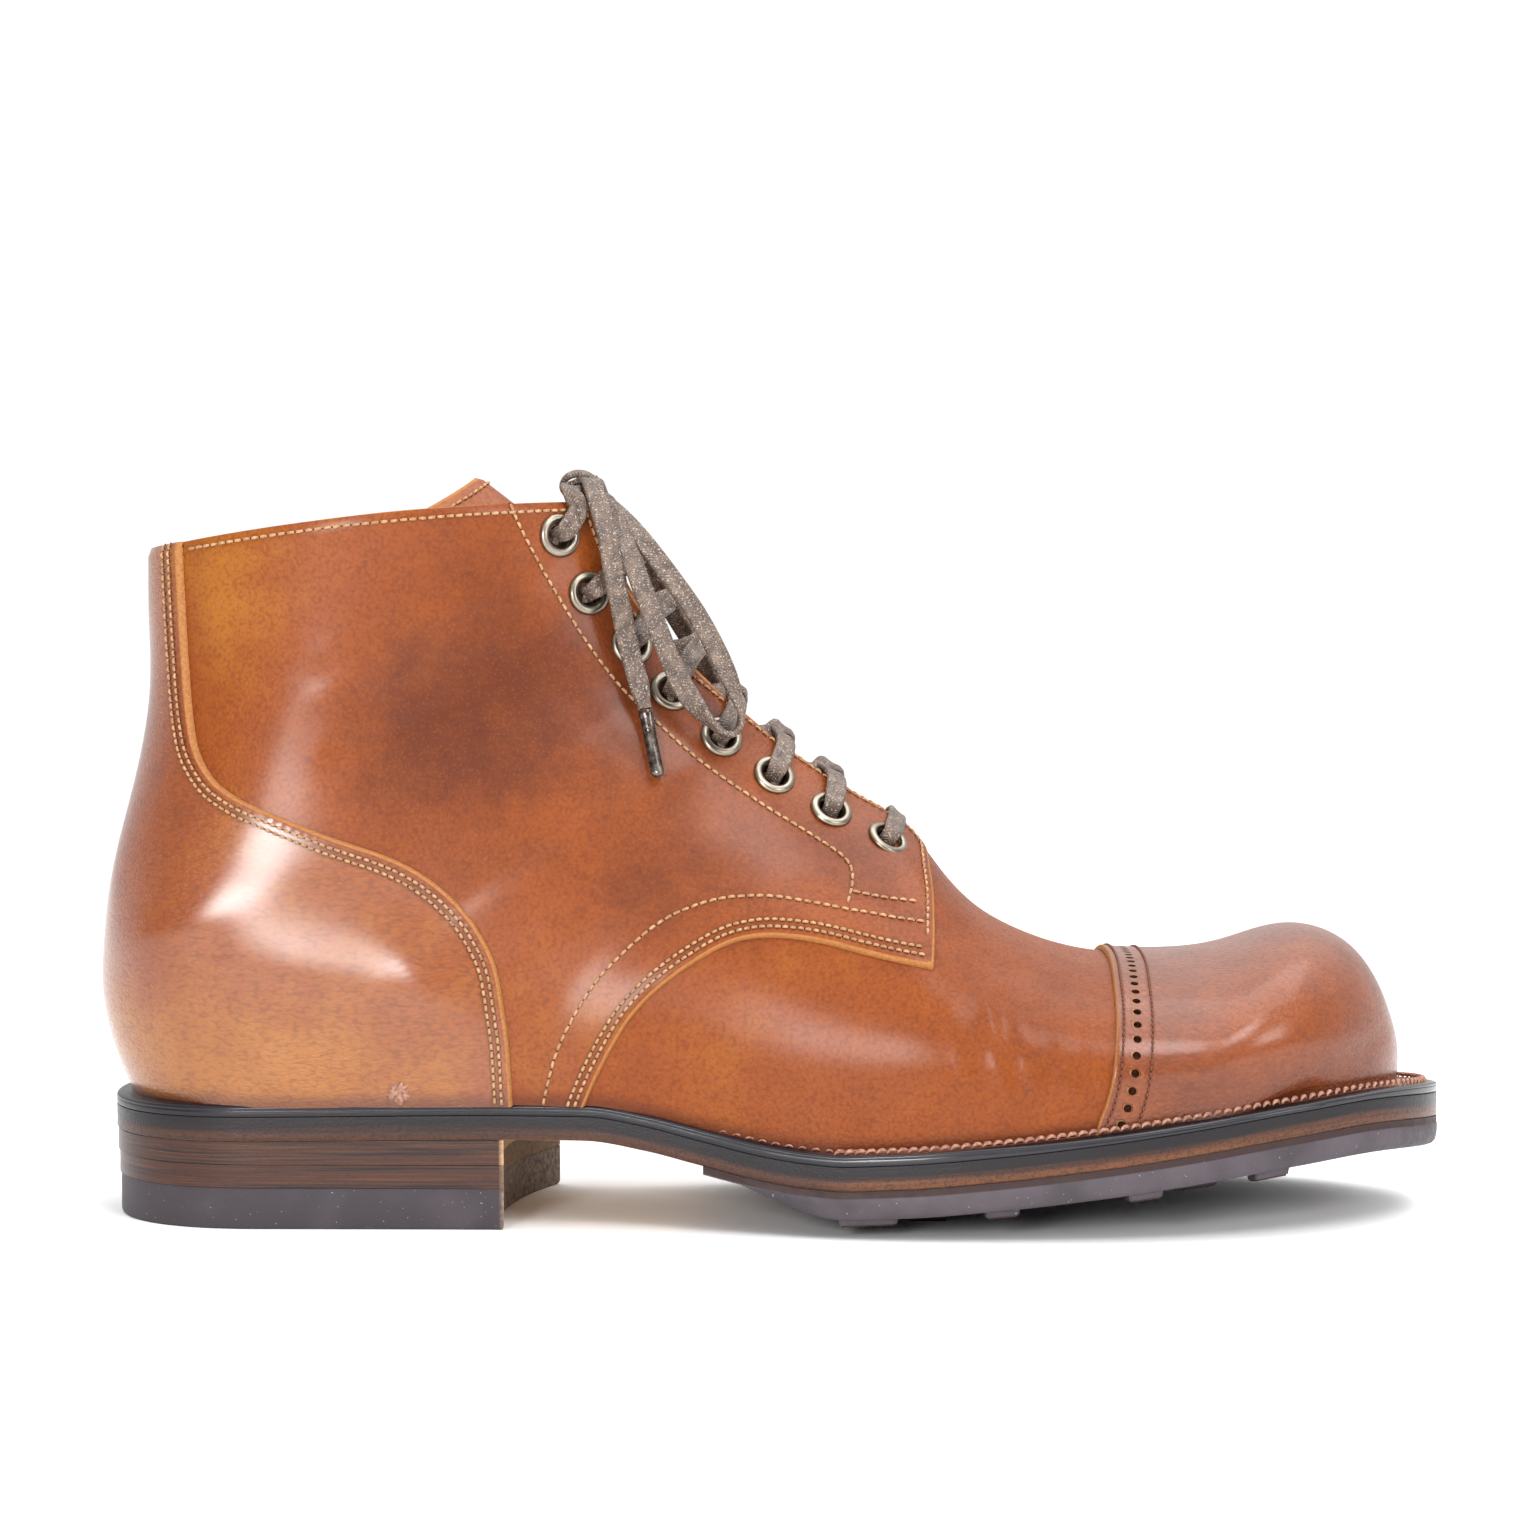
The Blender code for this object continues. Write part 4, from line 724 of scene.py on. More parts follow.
BURNISH = {  # soft spots of darker (or paler) wax, by side view: middle, reach, amount
    "x": (80, 105, 137, 165, 128, 240, 262, 283, 38, 98, 32, 205, 60, 190, 18, 248),
    "z": (108, 130, 108, 82, 74, 52, 58, 40, 36, 42, 138, 52, 148, 68, 100, 32),
    "wide": (34, 34, 24, 24, 22, 13, 26, 14, 42, 24, 18, 20, 40, 18, 9, 26),
    "high": (26, 24, 22, 12, 14, 16, 10, 16, 15, 18, 22, 12, 10, 14, 40, 9),
    "amount": (0.36, 0.2, 0.3, 0.34, 0.22, 0.2, 0.14, 0.24, -0.3, 0.06, -0.2, 0.2, 0.12, 0.2, 0.2, 0.25),
}
BURNISH_BASE = 0.34
CALF = {"pale": (0.34, 0.115, 0.013, 1), "cognac": (0.235, 0.052, 0.0075, 1),
        "dark": (0.095, 0.019, 0.006, 1), "raw": (0.42, 0.17, 0.05, 1), "flesh": (0.3, 0.125, 0.04, 1)}
# Its dark share is painted shade that darkens the groove.
ROW_DIP = {"half": 0.55, "deep": 0.00022, "dark": 0.35}  # the groove that a row of stitches pulls in
VAMP_CREASES = {  # soft troughs where the foot bends: line in the side view, depth, half width
    "line": (((203, 52), (204.4, 42), (207, 32), (208, 26)), ((211.5, 50), (213, 40), (213.6, 30)),
             ((196, 50), (197.5, 41), (199, 33)), ((218, 54), (219, 44), (220.5, 34))),
    "depth": (0.34, 0.22, 0.16, 0.14),
    "half": (1.6, 1.8, 2.2, 2.0),
}


def above_line(points, line):
    """Distance from a line in the side view, positive over it and behind it."""
    return side_distance(points, line, [(line[-1][0], FAR), (-FAR, FAR), (-FAR, line[0][1])])


def ahead_of(points, line):
    """Distance from a line in the side view, positive towards the toe."""
    return side_distance(points, line, [(FAR, line[-1][1]), (FAR, line[0][1])])


def troughs(points, table):
    """How far the listed creases lower the leather, with a small ridge beside each."""
    height = np.zeros(len(points))
    for line, depth, half in zip(*table.values()):
        away = np.abs(side_distance(points, through(line, 24), [(FAR, FAR)])) / half
        height += depth * (0.6 * np.exp(-(away - 1.8) ** 2 * 2) - np.exp(-away * away))
    return height


def tan_calf(name, stretch, grain, tone_shift, gloss, raw_edge=0.0, rows=(), groove="edge"):
    """Waxed cognac calf: pebble grain with painted shade in its valleys and a painted highlight on its tops,
    burnish, painted shade towards the welt, a raw cut edge, and shallow grooves at its stitch rows with
    painted shade in them.
    """
    pale, cognac, dark = CALF["pale"], CALF["cognac"], CALF["dark"]
    made, shader, at = finish(name, Coat_Roughness=0.21, Specular_IOR_Level=0.1 + 0.22 * gloss)
    read = {key: at.attribute(key) for key in ("edge", "tone", "flesh", "welt", groove)}
    cloud = at.noise(26.0, 5.0, 0.6)
    blotch = at.noise(85.0, 4.0, 0.62, (1, 1, 0.75))
    pull = at.noise(420.0, 3.0, 0.6, (0.35, 1, 1.0))
    tone = read["tone"] + tone_shift + (cloud - 0.5) * 0.7 + (blotch - 0.5) * 0.5 + (pull - 0.5) * 0.2
    low = tone.ramp(0.0, 0.5).tint(pale, cognac)
    colour = tone.ramp(0.42, 1.05).tint(low, dark)
    warp = at.node("ShaderNodeTexNoise", {}, {"Vector": at, "Scale": 600.0, "Detail": 1.0}, 1)
    bent = at.node("ShaderNodeVectorMath", {"operation": "MULTIPLY_ADD"},
                   {0: warp, 1: (0.0009, 0.0009, 0.0009), 2: at})
    pebble = bent.cells(1250.0, "SMOOTH_F1", stretch)
    fine = bent.cells(2300.0, "F1", stretch)
    pores = at.noise(5200.0, 2.0)
    valley = pebble.ramp(0.36, 0.72)
    # Painted shade in the grain's valleys, and a painted highlight on its raised tops.
    colour = (valley * 0.34).tint(colour, dark)
    colour = ((1 - pebble.ramp(0.08, 0.36)) * 0.16).tint(colour, pale)
    speck = at.noise(1400.0, 2.0, 0.6).ramp(0.66, 0.74)
    colour = (speck * 0.24).tint(colour, dark)
    # Painted shade: darker towards the welt, in the corner where the upper meets it.
    colour = ((1 - read["welt"].ramp(0.4, 4.4)) * 0.75).tint(colour, dark)
    sewn = None
    for row in rows:
        away = (read[groove] - row) * (1 / ROW_DIP["half"])
        dip = at.math("EXPONENT", away * away * -1.0)
        sewn = sewn + dip if sewn else dip
    height = (1 - pebble) * 0.7 + (1 - fine) * 0.35 + pores * 0.12
    normal = height.bump(grain)
    if sewn:
        normal = (1 - sewn).bump(ROW_DIP["deep"], normal)
        # Painted shade in the stitch rows' grooves.
        colour = (sewn * ROW_DIP["dark"]).tint(colour, dark)
    cut = read["flesh"]
    if raw_edge:
        cut = at.math("MAXIMUM", 1 - read["edge"].ramp(raw_edge * 0.72, raw_edge), cut.ramp(0.02, 0.2))
    fibres = at.noise(1600.0, 3.0, 0.6).ramp(0.3, 0.75).tint(CALF["raw"], CALF["flesh"])
    feed(shader, Base_Color=cut.tint(colour, fibres),
         Roughness=cut * 0.3 + (0.42 - gloss * 0.1) + valley * 0.12 + (blotch - 0.5) * 0.2,
         Coat_Weight=(1 - cut) * (gloss + (cloud - 0.5) * 0.3),
         Normal=normal)
    return made


tone = np.full(len(last.points), BURNISH_BASE)
for x, z, wide, high, amount in zip(*BURNISH.values()):
    away = ((last.points[:, 0] - x) / wide) ** 2 + ((last.points[:, 2] - z) / high) ** 2
    tone += amount * np.exp(-away)
last.fields["tone"] = tone
seam_line = np.vstack([through(QUARTER_SEAM, 90), through(TAB_FRONT, 20)])
last.fields["seam"] = above_line(last.points, seam_line)
last.fields["cap"] = ahead_of(last.points, through(CAP_LINE, 60))
last.fields["edge"] = np.full(len(last.points), FAR)
skin = last.above("welt").flipped("seam").above("seam", -VAMP_UNDER_QUARTER)
skin = skin.flipped("cap").above("cap", -VAMP_UNDER_CAP)
bend = troughs(skin.points, VAMP_CREASES)
vamp_calf = tan_calf("vamp_calf", (1.1, 1.2, 1.1), grain=0.0002, tone_shift=0.1, gloss=0.14)
leather_piece("vamp", skin, bend - VAMP_THICK, bend, vamp_calf, "tan_leather")

# Quarters. The two sides of the shaft, sewn over the vamp with two rows of stitches, with the facings
# that carry the eyelets and a square tab at their foot. Their edges are cut raw.
TAB_ROUND, SEAM_STEP, SEAM_FADE, QUARTER_THICK, QUARTER_LIFT = 5.0, 1.3, 16.0, 1.3, 0.05
QUARTER_RAW = 0.9
EDGE_CUTS = (0.3, 0.6)  # shares of a raw edge's width, where its slant is rounded
SEAM_ROWS = (2.1, 3.6)
COLLAR_ROW_IN, FACING_ROW_IN = 1.9, 1.9
SECOND_LINE = ((101, 16), (103.4, 30.5), (106.7, 41.7), (113.6, 54), (121.1, 62), (128.4, 68),
               (135.7, 71.4), (143, 73.2), (151.7, 73.5), (157.5, 72.8), (164.8, 71.5), (169.3, 70.6),
               (179.4, 68.8), (192, 65.9))
TAB_ROW = ((150, 78.9), (170.2, 74.6), (187.4, 70.9), (200, 68.2))
FACING_ROW = ((94, 166), (95.5, 158.6), (99.6, 149.8), (105.5, 139.1), (112.1, 128.5), (118.8, 119.7),
              (126.4, 112.2), (137.3, 102.6), (150.2, 93.6), (157.5, 89.1), (164.8, 84.6), (168.9, 81.7),
              (170.7, 79.2), (170.8, 76.3), (170.2, 73.8), (169.3, 70.6))
SEAM_RUNS_ON = (200, 55.8)  # the seam's own line goes on past the tab's corner
QUARTER_SKIVE = (0.5, 1.2)  # thinned by this much at the collar, over this width
SHAFT_CREASES = {
    "line": (((36, 114), (48, 119), (60, 127), (68, 134)), ((30, 128), (44, 126), (58, 120), (70, 112)),
             ((58, 104), (74, 109), (88, 117)), ((96, 92), (108, 97), (120, 105)),
             ((104, 120), (112, 112), (122, 104)), ((84, 132), (96, 138), (104, 146))),
    "depth": (0.05, 0.05, 0.1, 0.06, 0.07, 0.06),
    "half": (2.2, 2.4, 3.0, 3.2, 2.6, 2.6),
}


def raw_slant(edge, width):
    """Height share of a cut edge: from nearly nothing at the rim, round, to the full thickness."""
    share = np.clip(edge / width, 0, 1)
    return 0.22 + 0.78 * np.sqrt(1 - (1 - share) ** 2)


def cut_out(edge, raw):
    """The part of the upper inside an edge field, with the slant of its raw edge cut crisply."""
    last.fields["edge"] = edge
    skin = last.above("welt").above("edge")
    for share in (*EDGE_CUTS, 1.0):
        skin = skin.cut("edge", share * raw)
    return skin


def skived(skin, mm, width):
    """How much a piece is thinned at the collar."""
    return mm * (1 - step(skin.fields["collar"], 0, width))


last.fields["second"] = above_line(last.points, through(SECOND_LINE, 70))
last.fields["third"] = ahead_of(last.points, through(FACING_ROW, 80))
over_tab = [(x, FAR) for x, _ in (TAB_ROW[-1], TAB_ROW[0])]
last.fields["tab"] = side_distance(last.points, through(TAB_ROW, 20), over_tab)
last.fields["sewn"] = above_line(last.points, np.vstack([through(QUARTER_SEAM, 90), SEAM_RUNS_ON]))
quarter_edge = soft_least(last.fields["seam"], last.fields["facing"], TAB_ROUND)
quarter_skin = cut_out(quarter_edge, QUARTER_RAW).above("hole")
lap = SEAM_STEP * (1 - step(quarter_skin.fields["seam"], 0, SEAM_FADE)) + QUARTER_LIFT
lap += troughs(quarter_skin.points, SHAFT_CREASES)
lap -= skived(quarter_skin, *QUARTER_SKIVE)
quarter_skin.fields["over"] = lap - QUARTER_THICK * (1 - raw_slant(quarter_skin.fields["edge"], QUARTER_RAW))
quarter_calf = tan_calf("quarter_calf", (1.1, 1.2, 1.1), grain=0.0002, tone_shift=0.06, gloss=0.26,
                        raw_edge=QUARTER_RAW, rows=SEAM_ROWS, groove="sewn")
leather_piece("quarters", quarter_skin, lap - QUARTER_THICK, quarter_skin.fields["over"], quarter_calf,
              "tan_leather", ("upper",), ("edge", "tone", "welt", "sewn"))

# Heel counter. A second piece over the back of the quarters, running up the back seam as a narrow stay,
# held by two rows of stitches along its slanted raw edge.
COUNTER_EDGE = {
    "x": (21.8, 23.8, 25.8, 30, 35.5, 44.2, 57.2, 68.5, 76.1, 83.4, 88.8, 92.8, 94.4, 95.5, 96.4),
    "z": (156, 121.2, 107, 99.2, 95.2, 91.4, 86.3, 82.5, 78.6, 72.8, 66.2, 57.8, 49, 40.9, 24),
}
COUNTER_LIFT, COUNTER_THICK, COUNTER_RAW, COUNTER_ROWS = 0.1, 1.5, 1.0, (2.3, 3.8)
COUNTER_SKIVE = (0.7, 1.4)
# Its stiffener bulges a little over the heel's sides, fading out at its edge and at the back seam.
COUNTER_PUFF = {"mm": 2.4, "z": 55.0, "high": 17.0, "edge": 18, "back": (4, 26)}
height = np.linspace(FAR / 2, 10, 120)
counter_line = np.stack([smooth(COUNTER_EDGE["z"], COUNTER_EDGE["x"], height), height], 1)
COUNTER_BACK = [(-FAR, 10), (-FAR, FAR / 2)]
counter_skin = cut_out(side_distance(last.points, counter_line, COUNTER_BACK), COUNTER_RAW)
top = COUNTER_LIFT + COUNTER_THICK - skived(counter_skin, *COUNTER_SKIVE)
away = (counter_skin.points[:, 2] - COUNTER_PUFF["z"]) / COUNTER_PUFF["high"]
puff = COUNTER_PUFF["mm"] * np.exp(-away ** 2)
puff *= step(counter_skin.fields["edge"], COUNTER_RAW, COUNTER_PUFF["edge"])
top += puff * step(counter_skin.points[:, 0], *COUNTER_PUFF["back"])
counter_skin.fields["over"] = top - COUNTER_THICK * (1 - raw_slant(counter_skin.fields["edge"], COUNTER_RAW))
counter_calf = tan_calf("counter_calf", (0.55, 1, 1.25), grain=0.00038, tone_shift=0.02, gloss=0.9,
                        raw_edge=COUNTER_RAW, rows=COUNTER_ROWS)
leather_piece("heel_counter_calf", counter_skin, COUNTER_LIFT, counter_skin.fields["over"], counter_calf,
              "tan_leather", ("heel_counter",))

# Toe cap. A straight cap over the front of the vamp, with a punched row between two rows of tight
# stitches along its edge. It is burnished darker than the rest.
CAP_LIFT, CAP_THICK, CAP_RAW, CAP_ROWS, PUNCH_ROW = 0.1, 1.3, 0.4, (1.6, 7.9), 4.6
cap_skin = cut_out(last.fields["cap"], CAP_RAW)
cap_skin.fields["over"] = CAP_LIFT + CAP_THICK * raw_slant(cap_skin.fields["edge"], CAP_RAW)
cap_calf = tan_calf("cap_calf", (0.8, 1, 1.1), grain=0.00038, tone_shift=0.18, gloss=0.6,
                    raw_edge=CAP_RAW, rows=CAP_ROWS)
toe_cap = leather_piece("toe_cap_calf", cap_skin, CAP_LIFT, cap_skin.fields["over"], cap_calf, "tan_leather",
                        ("toe_cap",))

# Tongue. A soft tan leather flap under the lacing, sewn to the vamp at its foot and leaning back where
# it stands over the collar. Its edge is raw, with one row of stitches inside it.
TONGUE = {
    "ridge": (142, 160, 190, 225, 245, 260, 277),
    "half": (8, 11, 14.5, 18, 20, 21, 21),
    "depth": (5.2, 5.4, 6.4, 10, 13, 18, 26.5),
}
TONGUE_THICK, TONGUE_CORNER, TONGUE_POINT, TONGUE_RAW, TONGUE_ROW_IN = 1.9, 12.0, 1.3, 0.8, 2.6
TONGUE_GRID, TONGUE_TONE = (90, 48), 0.3


def ridge_frame(ridge):
    """Up and inward directions of the middle line, side on, and the height past its end."""
    end = SECTIONS["ridge"][-1]
    along = ridge_point(min(ridge, end)) - ridge_point(min(ridge, end) - 2)
    up = np.array([along[0], 0, along[2]]) / math.hypot(along[0], along[2])
    return up, np.array([-up[2], 0, up[0]]), max(ridge - end, 0)


def grid_skin(points, rows, wide, fields):
    """A skin from a grid of points, with its normals away from the boot's middle."""
    a = (np.arange(rows - 1)[:, None] * wide + np.arange(wide - 1)).ravel()
    faces = np.vstack([np.stack([a, a + 1, a + wide + 1], 1), np.stack([a, a + wide + 1, a + wide], 1)])
    grid = points.reshape(rows, wide, 3)
    normals = unit(np.cross(np.gradient(grid, axis=0), np.gradient(grid, axis=1)).reshape(-1, 3))
    if normals[:, 0].sum() + normals[:, 2].sum() < 0:
        normals = -normals
    corner = np.cross(points[faces[0, 1]] - points[faces[0, 0]], points[faces[0, 2]] - points[faces[0, 0]])
    if corner @ normals[faces[0, 0]] < 0:
        faces = faces[:, ::-1]
    return Skin(points, normals, faces, fields)


rows, wide = TONGUE_GRID
collar_ridge, tongue_ridge = SECTIONS["ridge"][-1], TONGUE["ridge"][-1]
points, inside = [], []
for ridge in np.linspace(TONGUE["ridge"][0], tongue_ridge, rows):
    half, depth = (float(smooth(TONGUE["ridge"], TONGUE[key], ridge)) for key in ("half", "depth"))
    up, inward, above = ridge_frame(ridge)
    row = row_at(min(ridge, collar_ridge))
    line = np.vstack([arch(row, "outer")[::-1], arch(row, "inner")[1:]])
    middle = ridge_point(min(ridge, collar_ridge))
    beyond = np.where(np.abs(line[:, 1] - middle[1]) >= half)[0]
    first, stop = beyond[beyond < len(line) // 2].max() + 1, beyond[beyond > len(line) // 2].min()
    flap = spaced(line[first:stop], np.linspace(0, 1, wide))
    across = np.abs(flap[:, 1] - middle[1]) / half
    rise = 1 - TONGUE_CORNER * across ** TONGUE_POINT / (tongue_ridge - collar_ridge)
    points.append(flap + inward * depth + np.outer(rise * above, up))
    inside.append(np.minimum((1 - across / across.max()) * half, (tongue_ridge - ridge) * rise))
points, inside = np.vstack(points), np.concatenate(inside)
even = np.zeros(len(points))
tongue_fields = {"edge": inside, "tone": even + TONGUE_TONE, "welt": even + FAR}
tongue_skin = grid_skin(points, rows, wide, tongue_fields)
tongue_calf = tan_calf("tongue_calf", (1, 1, 1), grain=0.00012, tone_shift=0.05, gloss=0.2,
                       raw_edge=TONGUE_RAW)
slant = TONGUE_THICK * 0.5 * (1 - raw_slant(inside, TONGUE_RAW))
tongue_skin.fields["over"] = -slant
leather_piece("tongue_flap", tongue_skin, -TONGUE_THICK, -slant, tongue_calf, "tan_leather", ("tongue",))

# Stitching of the upper. Waxed beige thread, two rows along the quarters and the counter and one along
# collar, facings and tongue, and dark thread along the toe cap. Each stitch sinks in at its needle holes,
# where a near-black drum paints the shade inside the hole.
SEWING = {  # by kind of row: pitch, width of the thread, how far it stands off the leather
    "seam": (1.7, 0.72, 0.2),
    "single": (2.1, 0.72, 0.2),
    "cap": (1.5, 0.55, 0.0),
}
STITCH_SHARE, STITCH_HIGH = 0.86, 0.55  # a stitch's length as a share of the pitch, and its height
STITCH_SEED, STITCH_TURN = 7, 0.06
NEEDLE_HOLE = (0.5, 0.5, 0.1)
ROWS_STOP, TAB_ROW_FROM, SHORTEST_ROW = 187.2, 170.4, 5.0  # the rows end short of the tab's front
FACING_ROW_FROM, FACING_ROW_UP, COUNTER_GAP = 90.0, 5.6, 0.4
BEIGE, BEIGE_SHADE = (0.52, 0.31, 0.16, 1), (0.3, 0.15, 0.07, 1)
BROWN, BROWN_SHADE = (0.13, 0.035, 0.016, 1), (0.17, 0.05, 0.022, 1)
# Near-black painted shade for the needle holes and for the punched holes' walls.
HOLE_SHADE_BLACK, HOLE_SHADE_BROWN = (0.03, 0.01, 0.006, 1), (0.07, 0.022, 0.01, 1)


def instance_tree(name):
    """A tree that sets one small shape at every point of a mesh, turned along the row and out of the
    leather, with named sizes, and gives the whole a material."""
    tree = bpy.data.node_groups.new(name, "GeometryNodeTree")
    for label, kind in (("Points", "Geometry"), ("Shape", "Object"), ("Length", "Float"), ("Width", "Float"),
                        ("Height", "Float"), ("Turn", "Float"), ("Seed", "Int"), ("Finish", "Material")):
        tree.interface.new_socket(label, in_out="INPUT", socket_type=f"NodeSocket{kind}")
    tree.interface.new_socket("Pieces", in_out="OUTPUT", socket_type="NodeSocketGeometry")
    given = {item.name: Socket(tree, item) for item in tree.nodes.new("NodeGroupInput").outputs}
    add = given["Points"].node
    along, out = (add("GeometryNodeInputNamedAttribute", {"data_type": "FLOAT_VECTOR"}, {"Name": key})
                  for key in ("along", "out"))
    turn = add("FunctionNodeAxesToRotation", {"primary_axis": "Z", "secondary_axis": "X"}, {0: out, 1: along})
    size = add("ShaderNodeCombineXYZ", {}, {0: given["Length"], 1: given["Width"], 2: given["Height"]})
    shape = add("GeometryNodeObjectInfo", {}, {"Object": given["Shape"]}, "Geometry")
    placed = add("GeometryNodeInstanceOnPoints", {},
                 {"Points": given["Points"], "Instance": shape, "Rotation": turn, "Scale": size})
    random = add("FunctionNodeRandomValue", {"data_type": "FLOAT"},
                 {2: given["Turn"] * -1.0, 3: given["Turn"], "Seed": given["Seed"]}, 1)
    wobble = add("ShaderNodeCombineXYZ", {}, {"Z": random})
    turned = add("GeometryNodeRotateInstances", {}, {"Instances": placed, "Rotation": wobble})
    real = add("GeometryNodeRealizeInstances", {}, {"Geometry": turned})
    painted = add("GeometryNodeSetMaterial", {}, {"Geometry": real, "Material": given["Finish"]})
    feed(tree.nodes.new("NodeGroupOutput"), Pieces=painted)
    return tree


def repeated(name, places, shape, sizes, paint, turn=0.0, slot=None, nodes=()):
    """One plain mesh with a shape at each place: place, along and out as arrays, sizes in mm. A slot makes it
    a piece of the boot."""
    where, along, out = (np.vstack([place[k] for place in places]) for k in range(3))
    mesh = bpy.data.meshes.new(name)
    mesh.from_pydata(place_mm(where), [], [])
    for key, values in (("along", along), ("out", out)):
        mesh.attributes.new(key, "FLOAT_VECTOR", "POINT").data.foreach_set("vector", values.ravel())
    made = show(name, mesh)
    modifier = made.modifiers.new("repeat", "NODES")
    tree = modifier.node_group = instance_tree(f"{name}_tree")
    given = dict(zip(("Length", "Width", "Height"), (size * MM for size in sizes)))
    given.update(Shape=shape, Turn=turn, Seed=STITCH_SEED, Finish=paint)
    for item in tree.interface.items_tree:
        if item.in_out == "INPUT" and item.name in given:
            modifier[item.identifier] = given[item.name]
    made.update_tag()
    result = evaluated(made)
    made.modifiers.remove(modifier)
    made.data = result
    result.shade_smooth()
    if slot:
        hand_over(made, slot, nodes)
    return made


def small_shape(name, points, faces):
    """An unlinked shape for repeating, one unit in size."""
    mesh = bpy.data.meshes.new(name)
    mesh.from_pydata(points, [], faces)
    shape = bmesh.new()
    shape.from_mesh(mesh)
    bmesh.ops.remove_doubles(shape, verts=shape.verts, dist=1e-4)
    bmesh.ops.recalc_face_normals(shape, faces=shape.faces)
    shape.to_mesh(mesh)
    shape.free()
    return bpy.data.objects.new(name, mesh)


def tube_faces(rings, sides, closed=False, ends=True):
    """Faces between rings of points: back to the first ring where closed, or else with two end faces."""
    faces = []
    for i in range(rings if closed else rings - 1):
        a, b = i * sides, (i + 1) % rings * sides
        faces += [(a + k, a + (k + 1) % sides, b + (k + 1) % sides, b + k) for k in range(sides)]
    if ends and not closed:
        last_ring = range((rings - 1) * sides, rings * sides)
        faces += [tuple(range(sides))[::-1], tuple(last_ring)]
    return faces


def stitch_shape():
    """A stitch: a short thread with a round back whose two ends dive into the leather."""
    stations = ((-0.5, 0.25, -0.6), (-0.42, 0.75, -0.1), (-0.15, 1, 0.3), (0.15, 1, 0.3),
                (0.42, 0.75, -0.1), (0.5, 0.25, -0.6))
    turns = np.linspace(0, 2 * math.pi, 6, endpoint=False)
    points = [(x, 0.5 * fat * math.cos(turn), z + 0.5 * fat * math.sin(turn))
              for x, fat, z in stations for turn in turns]
    return small_shape("stitch", points, tube_faces(len(stations), len(turns)))


def drum_shape(name, sides, top_wide, top):
    """A low round drum, one unit across at its foot, for a hole."""
    turns = np.linspace(0, 2 * math.pi, sides, endpoint=False)
    points = [(0.5 * wide * math.cos(turn), 0.5 * wide * math.sin(turn), z)
              for wide, z in ((1.0, -1.0), (top_wide, top)) for turn in turns]
    return small_shape(name, points, tube_faces(2, sides))


def stitch_row(line, pitch, lift=0.0, offset=0.5):
    """Even places along a line on the leather: point, direction and normal of each stitch."""
    points, normals = line
    run = lengths(points)
    at = (np.arange(int(run[-1] / pitch)) + offset) * pitch
    out = between(at, run, normals)
    ahead = between(at + 0.2, run, points) - between(at - 0.2, run, points)
    return between(at, run, points) + out * lift, unit(ahead), out


def row_lines(skin, name, level, keep=None):
    """Stitch lines on a leather piece's grain side, cut where keep says no, without the short ends."""
    lines = []
    lifted = Skin(skin.points + skin.normals * skin.fields["over"][:, None], skin.normals, skin.faces,
                  skin.fields)
    for points, normals in lifted.contours(name, level):
        wanted = keep(points) if keep else np.ones(len(points), bool)
        for run in np.split(np.arange(len(points)), np.where(np.diff(wanted.astype(int)))[0] + 1):
            if wanted[run[0]] and lengths(points[run])[-1] > SHORTEST_ROW:
                lines.append((points[run], normals[run]))
    return lines


def clear_of_counter(points):
    return side_distance(points, counter_line, COUNTER_BACK) < -COUNTER_GAP


def on_facing(points):
    seam = np.interp(points[:, 0], *np.transpose(QUARTER_SEAM))
    return (points[:, 2] > seam + FACING_ROW_UP) & (points[:, 0] > FACING_ROW_FROM)


def short_of_front(points):
    return points[:, 0] < ROWS_STOP


def on_tab(points):
    return (points[:, 0] > TAB_ROW_FROM) & short_of_front(points)


def thread(name, colour, shade, rough, mix=(900.0, 0.7), fibres=None):
    """Thread in two mixed colours, with a bump of fibres given by their scale and height."""
    made, shader, at = finish(name, Specular_IOR_Level=0.3)
    feed(shader, Base_Color=at.noise(mix[0], 3.0).ramp(0.3, mix[1]).tint(colour, shade),
         Roughness=at.noise(2500.0).ramp(0.2, 0.8) * 0.2 + rough)
    if fibres:
        feed(shader, Normal=at.noise(fibres[0], 2.0).bump(fibres[1]))
    return made


sewn_rows = {kind: [] for kind in SEWING}
for kind, skin, field, levels, keep in (
        ("seam", quarter_skin, "sewn", SEAM_ROWS, short_of_front),
        ("seam", counter_skin, "edge", COUNTER_ROWS, None),
        ("single", quarter_skin, "second", (0.0,), short_of_front),
        ("single", quarter_skin, "tab", (0.0,), on_tab),
        ("single", quarter_skin, "third", (0.0,), None),
        ("single", quarter_skin, "edge", (FACING_ROW_IN,), on_facing),
        ("single", quarter_skin, "collar", (COLLAR_ROW_IN,), clear_of_counter),
        ("single", tongue_skin, "edge", (TONGUE_ROW_IN,), None),
        ("cap", cap_skin, "edge", CAP_ROWS, None)):
    for level in levels:
        sewn_rows[kind] += row_lines(skin, field, level, keep)
beige_thread = thread("beige_thread", BEIGE, BEIGE_SHADE, 0.5, fibres=(4000.0, 0.00006))
brown_thread = thread("brown_thread", BROWN, BROWN_SHADE, 0.45)
# A near-black finish that paints the shade inside the holes.
painted_hole_shade, shader, at = finish("painted_hole_shade", Specular_IOR_Level=0.1)
feed(shader, Base_Color=at.noise(900.0).ramp(0.3, 0.7).tint(HOLE_SHADE_BLACK, HOLE_SHADE_BROWN),
     Roughness=at.noise(900.0) * 0.1 + 0.8)
stitch, needle_hole = stitch_shape(), drum_shape("needle_hole", 8, 0.7, 0.6)
